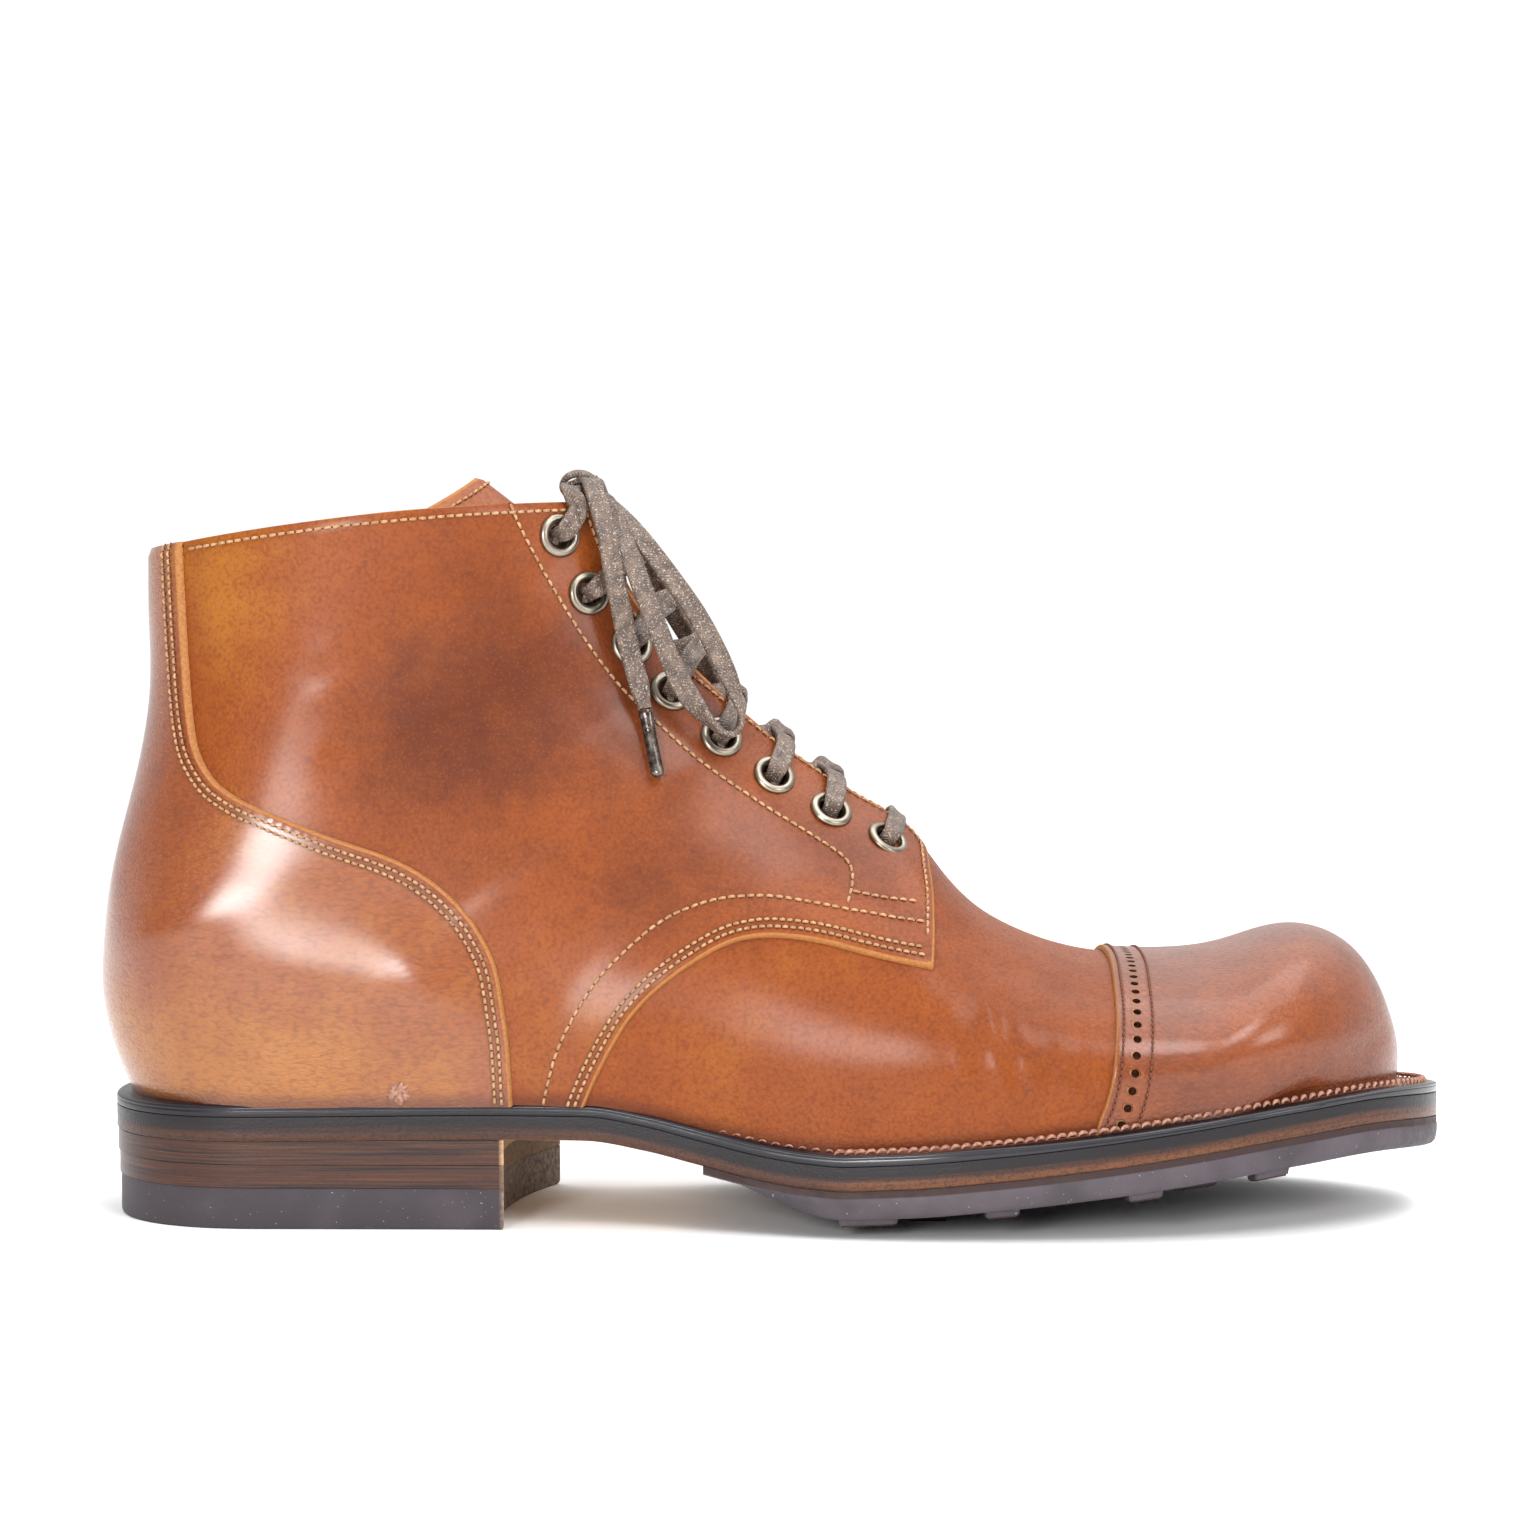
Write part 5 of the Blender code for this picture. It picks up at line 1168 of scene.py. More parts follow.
for kind, (pitch, wide, stand) in SEWING.items():
    paint = brown_thread if kind == "cap" else beige_thread
    places = [stitch_row(row, pitch, stand) for row in sewn_rows[kind]]
    sizes = (pitch * STITCH_SHARE, wide, STITCH_HIGH)
    repeated(f"stitches_{kind}", places, stitch, sizes, paint, STITCH_TURN, "tan_leather")
    places = [stitch_row(row, pitch, 0.0, 0.0) for row in sewn_rows[kind]]
    repeated(f"needle_holes_{kind}", places, needle_hole, NEEDLE_HOLE, painted_hole_shade, slot="tan_leather")

# Punched row of the toe cap. Round holes in the calf between the cap's two rows of stitches, knocked out
# with a punch before the cap is sewn down, and a little wider at the top.
PUNCH = {"size": (1.75, 1.75, 1.15), "pitch": 3.9, "sides": 14, "flare": 1.12}


def combined(made, tool, operation, materials, sharp):
    """Cuts another shape out of a piece, or joins it on. The other shape is then removed."""
    change = made.modifiers.new("change", "BOOLEAN")
    change.object, change.operation, change.solver = tool, operation, "EXACT"
    change.material_mode = materials
    result = evaluated(made)
    made.modifiers.clear()
    made.data = result
    result.shade_smooth()
    result.set_sharp_from_angle(angle=math.radians(sharp))
    bpy.data.objects.remove(tool)


punch = drum_shape("punch", PUNCH["sides"], PUNCH["flare"], 1.0)
places = [stitch_row(row, PUNCH["pitch"]) for row in row_lines(cap_skin, "edge", PUNCH_ROW)]
cutter = repeated("punches", places, punch, PUNCH["size"], painted_hole_shade)
# The cutter's near-black finish goes onto the holes' walls: painted shade inside the punched holes.
combined(toe_cap, cutter, "DIFFERENCE", "TRANSFER", 40)

# Eyelets. Sixteen antique brass eyelets with a rolled rim, set through facing and lining, and worn
# bright in patches.
EYELET = {  # radius and height of the rolled profile, from inside the barrel over the rim
    "radius": (2.75, 2.6, 2.62, 2.85, 3.25, 3.75, 4.25, 4.55, 4.68, 4.55, 3.1, 3.0, 3.0),
    "height": (-2.7, -1.4, 0.2, 0.78, 1.08, 1.15, 0.98, 0.68, 0.3, 0.08, 0.04, -0.6, -2.7),
}
EYELET_SIDES, EYELET_SIZE = 36, (1.06, 1.06, 1)
BRASS, BRASS_WORN, BRASS_DARK = (0.25, 0.215, 0.168, 1), (0.38, 0.335, 0.27, 1), (0.08, 0.06, 0.042, 1)
turns = np.linspace(0, 2 * math.pi, EYELET_SIDES, endpoint=False)
points = [(radius * math.cos(turn), radius * math.sin(turn), height)
          for turn in turns for radius, height in zip(*EYELET.values())]
eyelet = small_shape("eyelet", points, tube_faces(EYELET_SIDES, len(EYELET["radius"]), closed=True))
antique_brass, shader, at = finish("antique_brass", Metallic=1.0)
worn = at.noise(160.0, 4.0).ramp(0.35, 0.7)
tarnish = at.noise(700.0, 3.0, 0.55).ramp(0.52, 0.85) * 0.6
feed(shader, Base_Color=tarnish.tint(worn.tint(BRASS, BRASS_WORN), BRASS_DARK),
     Roughness=tarnish * 0.3 + 0.31,
     Normal=at.noise(2200.0, 3.0).bump(0.00002))
where, out = (np.array(values) for values in zip(*EYELET_AT.values()))
along = unit(np.cross(out, (0, 1, 0)))
nodes = [f"eyelet_{side}_{k + 1}" for side, k in EYELET_AT]
repeated("eyelets", [(where, along, out)], eyelet, EYELET_SIZE, antique_brass, 0.0, "antique_brass", nodes)

# Insole. A sock of the same leather as the lining, under the foot, cut to the seat that the welt is sewn
# round and glued down on it.
WELT, MIDSOLE, RUBBER, INSOLE, INSOLE_INSET = 3.0, 5.4, 6.3, 5.4, 6.0
SOLE_STEPS, PLATE_COLUMNS = 190, 10
WELD = 0.004
dense = np.linspace(0, 1, 3000)
run = lengths(half_outline("outer", dense))
SOLE_SHARES = np.interp(np.linspace(0, run[-1], SOLE_STEPS), run, dense)


def below(depth):
    """A height function that lies this far under the top of the welt."""
    return lambda x, y: sole_top(x, y) - depth


def solid_piece(name, points, faces, paint, slot, nodes, fields=None, sharp=32.0):
    """A closed solid: doubles merged, faces outwards, and fields worked out from its final points."""
    shape = bmesh.new()
    corners = [shape.verts.new(point) for point in points]
    shape.verts.index_update()
    for face in faces:
        if len(set(face)) == len(face):
            shape.faces.new([corners[k] for k in face])
    bmesh.ops.remove_doubles(shape, verts=shape.verts, dist=WELD)
    bmesh.ops.dissolve_degenerate(shape, edges=shape.edges, dist=WELD)
    bmesh.ops.recalc_face_normals(shape, faces=shape.faces)
    shape.verts.index_update()
    merged = np.array([v.co for v in shape.verts])
    rings = [[v.index for v in face.verts] for face in shape.faces]
    shape.free()
    values = {key: rule(merged) for key, rule in (fields or {}).items()}
    return add_piece(name, merged, rings, paint, slot, nodes, values, sharp)


def plate_solid(halves_at, rows):
    """Points and faces of a plate: rows of (inset, height function) from the top face round its edge to
    the bottom face, between the two half outlines that halves_at gives for an inset."""
    points, loops = [], []
    for inset, height in rows:
        outer, inner = halves_at(inset)
        ring = np.vstack([outer, inner[::-1]])
        loops.append((outer, inner, height))
        points += [(x, y, float(height(x, y))) for x, y in ring]
    faces = tube_faces(len(rows), len(ring), ends=False)
    for outer, inner, height in (loops[0], loops[-1]):
        start, wide = len(points), PLATE_COLUMNS + 1
        for p, q in zip(outer, inner):
            for share in np.linspace(0, 1, wide):
                x, y = p + (q - p) * share
                points.append((x, y, float(height(x, y))))
        for i in range(len(outer) - 1):
            for j in range(PLATE_COLUMNS):
                a = start + i * wide + j
                faces.append((a, a + 1, a + wide + 1, a + wide))
    return points, faces


def whole_sole(feather=False, more=0.0):
    """The two half outlines of the sole, or of the upper's foot, for any inset."""
    return lambda inset: [half_outline(side, SOLE_SHARES, feather, inset + more) for side in SIGN]


sock_leather, shader, at = finish("sock_leather", Specular_IOR_Level=0.3)
feed(shader, Base_Color=at.noise(45.0, 4.0).ramp(0.3, 0.75).tint(LINING_TAN, LINING_DARK),
     Roughness=at.noise(700.0).ramp(0.2, 0.8) * 0.15 + 0.6,
     Normal=at.cells(1100.0).bump(0.00008))
insole_top = WELT - INSOLE
insole_rows = [(1.0, below(insole_top)), (0.3, below(insole_top + 0.1)), (0.0, below(insole_top + 0.6)),
               (0.0, below(WELT - 0.1))]
solid_piece("insole_sock", *plate_solid(whole_sole(True, INSOLE_INSET), insole_rows), sock_leather,
            "lining_leather", ("insole",))

# Welt. A strip of leather sewn to the upper and stitched down to the midsole: natural reddish leather on
# top round the forefoot, its edge trimmed, inked blue-black and waxed with a hot iron.
WELT_PROFILE = {  # share of the way from the upper to the edge, and depth below the welt's top
    "share": (-0.75, -0.3, 0.08, 0.22, 0.36, 0.5, 0.64, 0.78, 0.9, 0.965, 1.0, 1.0, 0.985, 1.0, 1.0, 0.985,
              0.95, -0.75),
    "down": (0, 0, 0.02, 0.1, 0.28, 0.34, 0.36, 0.44, 0.6, 0.78, 1.1, 1.4, 1.54, 1.68, 2.7, 2.9, 2.98, 2.98),
}
WELT_SLOPE = {"mm": 1.0, "from": (185, 228), "to": (280, 302)}  # its edge is pressed down beside the toe cap
FORE = (158.0, 176.0)  # the welt's top is bare in front of here
INK, INK_BROWN = (0.0045, 0.0045, 0.0088, 1), (0.032, 0.014, 0.009, 1)
BARE_WELT, BARE_SHADE = (0.3, 0.115, 0.065, 1), (0.11, 0.034, 0.02, 1)
foot, edge = (np.vstack([outer, inner[-2:0:-1]])
              for outer, inner in (whole_sole(True)(0.0), whole_sole()(0.0)))
points = []
for share, down in zip(*WELT_PROFILE.values()):
    ring = foot + (edge - foot) * share
    pressed = step(ring[:, 0], *WELT_SLOPE["from"]) * (1 - step(ring[:, 0], *WELT_SLOPE["to"]))
    pressed = pressed * WELT_SLOPE["mm"] * max(share, 0) ** 2 * (1 - down / WELT)
    points += [(x, y, float(sole_top(x, y)) - down - more) for (x, y), more in zip(ring, pressed)]
faces = tube_faces(len(WELT_PROFILE["share"]), len(foot), closed=True)


def depth_below_welt(points):
    return sole_top(points[:, 0], points[:, 1]) - points[:, 2]


def fore_part(points):
    return step(points[:, 0], *FORE)


def layered(at):
    """A place on a sole's edge with its depth below the welt for height, so that layers follow the sole."""
    x, y = (at.node("ShaderNodeSeparateXYZ", {}, {0: at}, k) for k in (0, 1))
    depth = at.attribute("down")
    return at.node("ShaderNodeCombineXYZ", {}, {0: x, 1: y, 2: depth * MM}), depth


inked_welt, shader, at = finish("inked_welt", Coat_Roughness=0.16, Specular_IOR_Level=0.32)
flat, depth = layered(at)
fore = at.attribute("fore")
bare = fore * (1 - depth.ramp(0.3, 0.7)) * at.noise(500.0, 3.0).ramp(0.18, 0.3)
streak = flat.noise(14.0, 4.0, 0.6, (1, 1, 110)).ramp(0.52, 0.8)
top_tone = at.noise(600.0, 4.0, 0.6).ramp(0.3, 0.75).tint(BARE_WELT, BARE_SHADE)
inked = (streak * 0.7).tint(INK, INK_BROWN)
feed(shader, Base_Color=bare.tint(inked, top_tone),
     Roughness=bare * 0.3 + 0.3 + at.noise(700.0, 3.0) * 0.16,
     Coat_Weight=(1 - bare) * (fore * 0.3 + 0.25))
lines = flat.noise(20.0, 3.0, 0.6, (1, 1, 160))
feed(shader, Normal=(lines * 0.8 + at.noise(1500.0, 2.0) * 0.5).bump(0.00012))
solid_piece("welt_strip", points, faces, inked_welt, "dark_edge", ("welt",),
            {"down": depth_below_welt, "fore": fore_part}, 50.0)

# Stitching of the welt. Thick pinkish-beige thread: slanted stitches in the groove round the forefoot, a
# few small dashes showing at the waist, and the frayed knot of its last stitch over the heel.
WELT_THREAD = {"size": (2.7, 1.0, 0.9), "pitch": 2.3, "slant": 0.55, "share": 0.68, "from": 166, "lift": 0.2}
WAIST_THREAD = {"size": (1.9, 0.5, 0.5), "pitch": 3.0, "turn": 0.18, "share": 0.3, "from": 72, "lift": 0.25}
PINK, PINK_SHADE = (0.44, 0.235, 0.165, 1), (0.2, 0.085, 0.06, 1)
KNOT_TUFT = {"x": 71.3, "side": 36.4, "z": 30.8, "threads": 21, "size": (3.1, 1.2, 1.2),
             "turn": 0.3}


def groove_line(table, ahead, side):
    """A line along the welt's top on one side, up to a place along the boot."""
    foot, edge = (half_outline(side, SOLE_SHARES, feather) for feather in (True, False))
    line = foot + (edge - foot) * table["share"]
    line = line[(line[:, 0] <= ahead) & (line[:, 0] >= table["from"])]
    points = np.column_stack([line, sole_top(line[:, 0], line[:, 1]) + table["lift"]])
    return points, np.tile((0.0, 0.0, 1.0), (len(points), 1))


pink_thread = thread("pink_thread", PINK, PINK_SHADE, 0.5, (1300.0, 0.72), (3500.0, 0.0001))
outer, inner = (groove_line(WELT_THREAD, FAR, side) for side in SIGN)
round_toe = [np.vstack([a[::-1], b[1:]]) for a, b in zip(outer, inner)]
where, along, out = stitch_row(round_toe, WELT_THREAD["pitch"])
places = [(where, unit(along + WELT_THREAD["slant"] * np.cross(out, along)), out)]
repeated("welt_stitches", places, stitch, WELT_THREAD["size"], pink_thread, STITCH_TURN, "dark_edge")
places = [stitch_row(groove_line(WAIST_THREAD, FORE[1], side), WAIST_THREAD["pitch"]) for side in SIGN]
repeated("waist_stitches", places, stitch, WAIST_THREAD["size"], pink_thread, WAIST_THREAD["turn"],
         "dark_edge")
turns = np.linspace(0, 2 * math.pi, KNOT_TUFT["threads"], endpoint=False)
ways = unit(np.stack([np.cos(turns), -0.45 + 0.2 * np.cos(3 * turns), np.sin(turns)], 1))
start = np.array((KNOT_TUFT["x"], -KNOT_TUFT["side"], KNOT_TUFT["z"]))
reach = KNOT_TUFT["size"][0] * (0.38 + 0.1 * np.cos(5 * turns + 1))
places = [(start + ways * reach[:, None], ways, np.tile((0.0, -1.0, 0.0), (len(ways), 1)))]
repeated("thread_tuft", places, stitch, KNOT_TUFT["size"], pink_thread, KNOT_TUFT["turn"], "dark_edge")

# Midsole. One full-length layer of sole leather under the welt, its edge stained brown and waxed, darker
# towards the welt, and left natural and pale underneath at the waist.
MID_TOP, MID_FOOT = WELT + 0.02, WELT + MIDSOLE
MID_BROWN, MID_ORANGE = (0.085, 0.031, 0.015, 1), (0.21, 0.074, 0.023, 1)
MID_DARK = (0.013, 0.0105, 0.0125, 1)
NATURAL, NATURAL_SHADE = (0.62, 0.42, 0.25, 1), (0.45, 0.27, 0.14, 1)


def under_face(points):
    return (depth_below_welt(points) > MID_FOOT - 0.12).astype(float)


stained_edge, shader, at = finish("stained_edge", Coat_Roughness=0.2, Specular_IOR_Level=0.25)
flat, depth = layered(at)
fore = at.attribute("fore")
under = at.attribute("under")
streak = flat.noise(16.0, 5.0, 0.65, (1, 1, 46))
speckle = at.noise(1500.0, 3.0, 0.65).ramp(0.42, 0.7)
warm = (depth.ramp(4.2, 7.2) * 0.6 + streak * 1.1 - 0.62) * (0.62 + fore * 0.38)
brown = warm.ramp(0.0, 0.55).tint(MID_DARK, MID_BROWN)
brown = (warm.ramp(0.35, 0.9) * 0.9).tint(brown, MID_ORANGE)
brown = (speckle * 0.65).tint(brown, MID_DARK)
dark_top = 1 - (depth + streak * 2.4 - fore * 1.2).ramp(4.0, 6.2)
brown = dark_top.tint(brown, MID_DARK)
pale = at.noise(120.0, 4.0).ramp(0.3, 0.75).tint(NATURAL, NATURAL_SHADE)
feed(shader, Base_Color=under.tint(brown, pale),
     Roughness=under * 0.35 + 0.34 + speckle * 0.12,
     Coat_Weight=(1 - under) * 0.12,
     Normal=(streak * 0.7 + at.noise(1700.0, 3.0) * 0.7).bump(0.00014))
mid_rows = [(1.2, below(MID_TOP)), (0.15, below(MID_TOP + 0.02)), (0.03, below(MID_TOP + 0.1)),
            (0.0, below(MID_TOP + 0.6)), (0.05, below(MID_FOOT - 2.2)), (0.05, below(MID_FOOT - 1.6)),
            (0.0, below(MID_FOOT - 0.5)), (0.12, below(MID_FOOT - 0.14)), (0.5, below(MID_FOOT))]
solid_piece("midsole_leather", *plate_solid(whole_sole(), mid_rows), stained_edge, "stacked_leather",
            ("midsole",), {"down": depth_below_welt, "fore": fore_part, "under": under_face}, 50.0)

# Rubber half sole. Moulded grey-brown rubber glued under the forefoot, thinned out under the waist, with
# shallow blocks of tread that stand on the floor at the ball. A dark plum strip runs along its top.
RUBBER_START, RUBBER_TAPER, RUBBER_EDGE = 138.0, 30.0, 1.0
LUG, LUG_ROOT, LUG_DRAFT, LUG_TO_FLOOR, LUG_ROUND = 1.6, 1.5, 0.86, 1.3, 0.35
LUGS = {
    "x": (174, 203, 234, 262, 174, 203, 234, 262, 160, 188, 218, 248, 160, 188, 218, 248, 280),
    "edge": (2, 2, 2, 2, 2, 2, 2, 2, 28, 28, 30, 28, 20, 26, 30, 30, 26),
    "long": (14, 8, 8, 8, 14, 8, 8, 8, 10, 10, 10, 10, 10, 10, 10, 10, 10),
    "wide": (16, 16, 16, 16, 16, 16, 16, 16, 14, 16, 16, 14, 14, 16, 16, 14, 14),
    "side": ("outer",) * 4 + ("inner",) * 4 + ("outer",) * 4 + ("inner",) * 5,
}
RUBBER_GREY, RUBBER_DARK = (0.085, 0.07, 0.081, 1), (0.05, 0.041, 0.047, 1)
RUBBER_SPECK, PLUM = (0.5, 0.48, 0.46, 1), (0.034, 0.017, 0.016, 1)
PLUM_STRIP = (8.1, 8.3, 9.85, 10.1)  # depths below the welt's top
TREAD_EDGE = ((-0.15, 0.5), (0.0, 0.28), (0.3, 0.12), (0.85, 0.03), (1.6, 0.0))  # inset, height as a share


def rubber_under(x, y, back=0.0):
    """Underside of the half sole, or a level over it by a share of its thickness."""
    grown = np.clip((x - RUBBER_START) / RUBBER_TAPER, 0, 1)
    thick = RUBBER_EDGE + (RUBBER - RUBBER_EDGE) * grown * grown * (3 - 2 * grown)
    return sole_top(x, y) - WELT - MIDSOLE - thick * (1 - back)


def side_share(x):
    """Where on a half outline the side has this x."""
    return TOE_SHARE + (HEEL_SHARE - TOE_SHARE) * (BALL - x) / (BALL - HEEL_CURVE_END)


def fore_sole(inset):
    shares = np.append(SOLE_SHARES[SOLE_SHARES < side_share(RUBBER_START) - 0.002], side_share(RUBBER_START))
    return [half_outline(side, shares, False, inset) for side in SIGN]


def over_tread(back):
    return lambda x, y: rubber_under(x, y, back)


def dusty_rubber(at, low, high):
    """Grey-brown rubber clouded with a darker tone, and pale specks of dust."""
    cloud = at.noise(70.0, 4.0).ramp(low, high).tint(RUBBER_GREY, RUBBER_DARK)
    return (at.noise(1900.0, 1.0).ramp(0.765, 0.79) * 0.8).tint(cloud, RUBBER_SPECK)


moulded_rubber, shader, at = finish("moulded_rubber", Specular_IOR_Level=0.3)
depth = at.attribute("down")
strip = depth.ramp(*PLUM_STRIP[:2]) * (1 - depth.ramp(*PLUM_STRIP[2:]))
feed(shader, Base_Color=strip.tint(dusty_rubber(at, 0.3, 0.75), PLUM),
     Roughness=at.noise(500.0, 3.0).ramp(0.3, 0.7) * 0.16 + 0.48,
     Normal=at.noise(2600.0, 3.0).bump(0.00009))
top = below(WELT + MIDSOLE + 0.02)
rubber_rows = [(0.6, top), (0.08, top), (0.0, below(WELT + MIDSOLE + 0.1)),
               (0.0, below(PLUM_STRIP[2])), (-0.15, below(PLUM_STRIP[3] + 0.1))]
rubber_rows += [(inset, over_tread(back)) for inset, back in TREAD_EDGE]
half_sole = solid_piece("rubber_half_sole", *plate_solid(fore_sole, rubber_rows), moulded_rubber, "rubber",
                        ("outsole",), {"down": depth_below_welt})
blocks = bmesh.new()
for x, edge, long, wide, side in zip(*LUGS.values()):
    line = half_outline(side, SOLE_SHARES)[::-1]
    middle = SIGN[side] * (abs(np.interp(x, line[:, 0], line[:, 1])) - edge - wide / 2)
    standing = rubber_under(x, middle) - LUG < LUG_TO_FLOOR
    for vertex in bmesh.ops.create_cube(blocks, size=1)["verts"]:
        draft = 1.0 if vertex.co.z > 0 else LUG_DRAFT
        px, py = x + vertex.co.x * long * draft, middle + vertex.co.y * wide * draft
        leather = float(rubber_under(px, py))
        foot = 0.0 if standing else leather - LUG
        vertex.co = (px, py, leather + LUG_ROOT if vertex.co.z > 0 else foot)
bmesh.ops.bevel(blocks, geom=blocks.edges, offset=LUG_ROUND, segments=2, affect="EDGES")
for vertex in blocks.verts:
    vertex.co = place_mm(vertex.co)
tread = show("tread", bpy.data.meshes.new("tread"))
blocks.to_mesh(tread.data)
blocks.free()
combined(half_sole, tread, "UNION", "INDEX", 32)

# Heel. Two lifts of sole leather, stained and ironed like wood along the edge, on a rubber top lift. The
# curved breast in front is left rough: natural on the upper lift, dusty brown below; both colours are made
# paler than the leather as painted light on a face that stands in shade.
TOP_LIFT, LIFTS, HEEL_TAPER = 9.2, 2, 0.3
BREAST = {"outer": 94.0, "inner": 103.0, "hollow": 5.0}
HEEL_STEPS, BREAST_STEPS = 90, 24
LIFT_BROWN, LIFT_RED = (0.055, 0.021, 0.012, 1), (0.15, 0.054, 0.027, 1)
LIFT_DARK = (0.012, 0.009, 0.01, 1)
# Partly painted light: the breast's tan and grey are paler than the leather, to light a face in shade.
BREAST_TAN_PAINTED_LIGHT, BREAST_GREY_PAINTED_LIGHT = (0.82, 0.52, 0.3, 1), (0.34, 0.24, 0.16, 1)
JOINT = 0.1  # the fine groove between two lifts


def heel_loop(inset, rounding):
    """The heel's outline from the breast's outer corner round the back and along the breast, mm."""
    sides = [half_outline(side, np.linspace(side_share(BREAST[side]), 1, HEEL_STEPS), False, inset)
             for side in SIGN]
    first, stop = sides[1][0], sides[0][0]
    share = np.linspace(0, 1, BREAST_STEPS)[1:-1, None]
    front = first + (stop - first) * share
    front[:, :1] -= BREAST["hollow"] * 4 * share * (1 - share)
    loop = np.vstack([sides[0], sides[1][-2::-1], front])
    along = np.roll(loop, -1, 0) - loop
    after = unit(np.stack([along[:, 1], -along[:, 0]], 1))
    before = np.roll(after, 1, 0)
    inward = (before + after) / (1 + np.sum(before * after, 1))[:, None]
    area = np.sum(loop[:, 0] * np.roll(loop[:, 1], -1) - np.roll(loop[:, 0], -1) * loop[:, 1])
    return loop + inward * rounding * (-1 if area > 0 else 1)


def breast_face(inset):
    """A field that is 1 on the breast, from a lift's points."""
    def rule(points):
        half = [half_outline(side, side_share(BREAST[side]), False, inset)[0] for side in SIGN]
        share = np.clip((points[:, 1] - half[0][1]) / (half[1][1] - half[0][1]), 0, 1)
        front = half[0][0] + (half[1][0] - half[0][0]) * share - BREAST["hollow"] * 4 * share * (1 - share)
        return (points[:, 0] > front - 0.35).astype(float)
    return rule


def lift_solid(inset, rows):
    """Points and faces of a lift, each end closed by a fan because the breast is hollow."""
    points = []
    for rounding, height in rows:
        ring = heel_loop(inset, rounding)
        points += [(x, y, float(height(x, y))) for x, y in ring]
    count = len(ring)
    faces = tube_faces(len(rows), count, ends=False)
    for start in (0, len(points) - count):
        middle = len(points)
        points.append(tuple(np.mean(points[start:start + count], 0)))
        faces += [(start + k, start + (k + 1) % count, middle) for k in range(count)]
    return points, faces


def level(z):
    return lambda x, y: z


def lift_finish(name, breast_colour):
    """Stained, ironed lift leather with fine wood-like layers, and a rough breast in a colour made paler as
    painted light.
    """
    made, shader, at = finish(name, Coat_Roughness=0.2, Specular_IOR_Level=0.25)
    breast = at.attribute("breast")
    streak = at.noise(15.0, 5.0, 0.62, (1, 1, 34))
    thin = at.noise(30.0, 4.0, 0.6, (1, 1, 70))
    edge = streak.ramp(0.36, 0.58).tint(LIFT_DARK, LIFT_BROWN)
    edge = (thin.ramp(0.45, 0.8) * 0.8).tint(edge, LIFT_RED)
    edge = (at.noise(1500.0, 3.0, 0.6).ramp(0.5, 0.75) * 0.4).tint(edge, LIFT_DARK)
    rough = at.noise(800.0, 5.0, 0.7)
    shade = (rough.ramp(0.3, 0.7) * 0.5).tint(breast_colour, LIFT_BROWN)
    feed(shader, Base_Color=breast.tint(edge, shade),
         Roughness=breast * 0.5 + 0.32 + thin * 0.1,
         Coat_Weight=(1 - breast) * 0.15,
         Normal=(thin * 0.5 + rough * (0.4 + breast * 3.0)).bump(0.00014))
    return made


seat = float(sole_top(HEEL_CURVE_END, 0)) - WELT - MIDSOLE
thick = (seat - TOP_LIFT) / LIFTS
for index in range(LIFTS):
    foot = seat - (index + 1) * thick
    top = below(WELT + MIDSOLE + 0.02) if index == 0 else level(foot + thick)
    edge_top = below(WELT + MIDSOLE + 0.02 + JOINT) if index == 0 else level(foot + thick - JOINT)
    rows = [(0.7, top), (JOINT, top), (0.0, edge_top), (0.0, level(foot + JOINT)),
            (JOINT, level(foot + 0.02)), (0.7, level(foot + 0.02))]
    taper = HEEL_TAPER * (index + 1)
    paint = lift_finish(f"lift_leather_{index + 1}", BREAST_TAN_PAINTED_LIGHT if index == 0 else BREAST_GREY_PAINTED_LIGHT)
    solid_piece(f"lift_{index + 1}", *lift_solid(taper, rows), paint, "stacked_leather",
                (f"heel_lift_{index + 1}",), {"breast": breast_face(taper)})
taper = HEEL_TAPER * (LIFTS + 1)
rows = [(0.7, level(TOP_LIFT)), (JOINT, level(TOP_LIFT)), (0.0, level(TOP_LIFT - JOINT)), (0.0, level(0.9)),
        (0.15, level(0.3)), (0.5, level(0.0)), (1.2, level(0.0))]
heel_rubber, shader, at = finish("heel_rubber", Specular_IOR_Level=0.25)
breast = at.attribute("breast")
# The rubber's breast in the same grey, made paler as painted light, mottled with the rubber's grey.
dusty_breast_painted_light = at.noise(800.0, 5.0, 0.7).ramp(0.3, 0.7).tint(BREAST_GREY_PAINTED_LIGHT, RUBBER_GREY)
feed(shader, Base_Color=breast.tint(dusty_rubber(at, 0.1, 0.55), dusty_breast_painted_light),
     Roughness=breast * 0.3 + 0.5,
     Normal=at.noise(2600.0, 3.0).bump(0.00009))
solid_piece("rubber_top_lift", *lift_solid(taper, rows), heel_rubber, "rubber", ("heel_top_lift",),
            {"breast": breast_face(taper)})

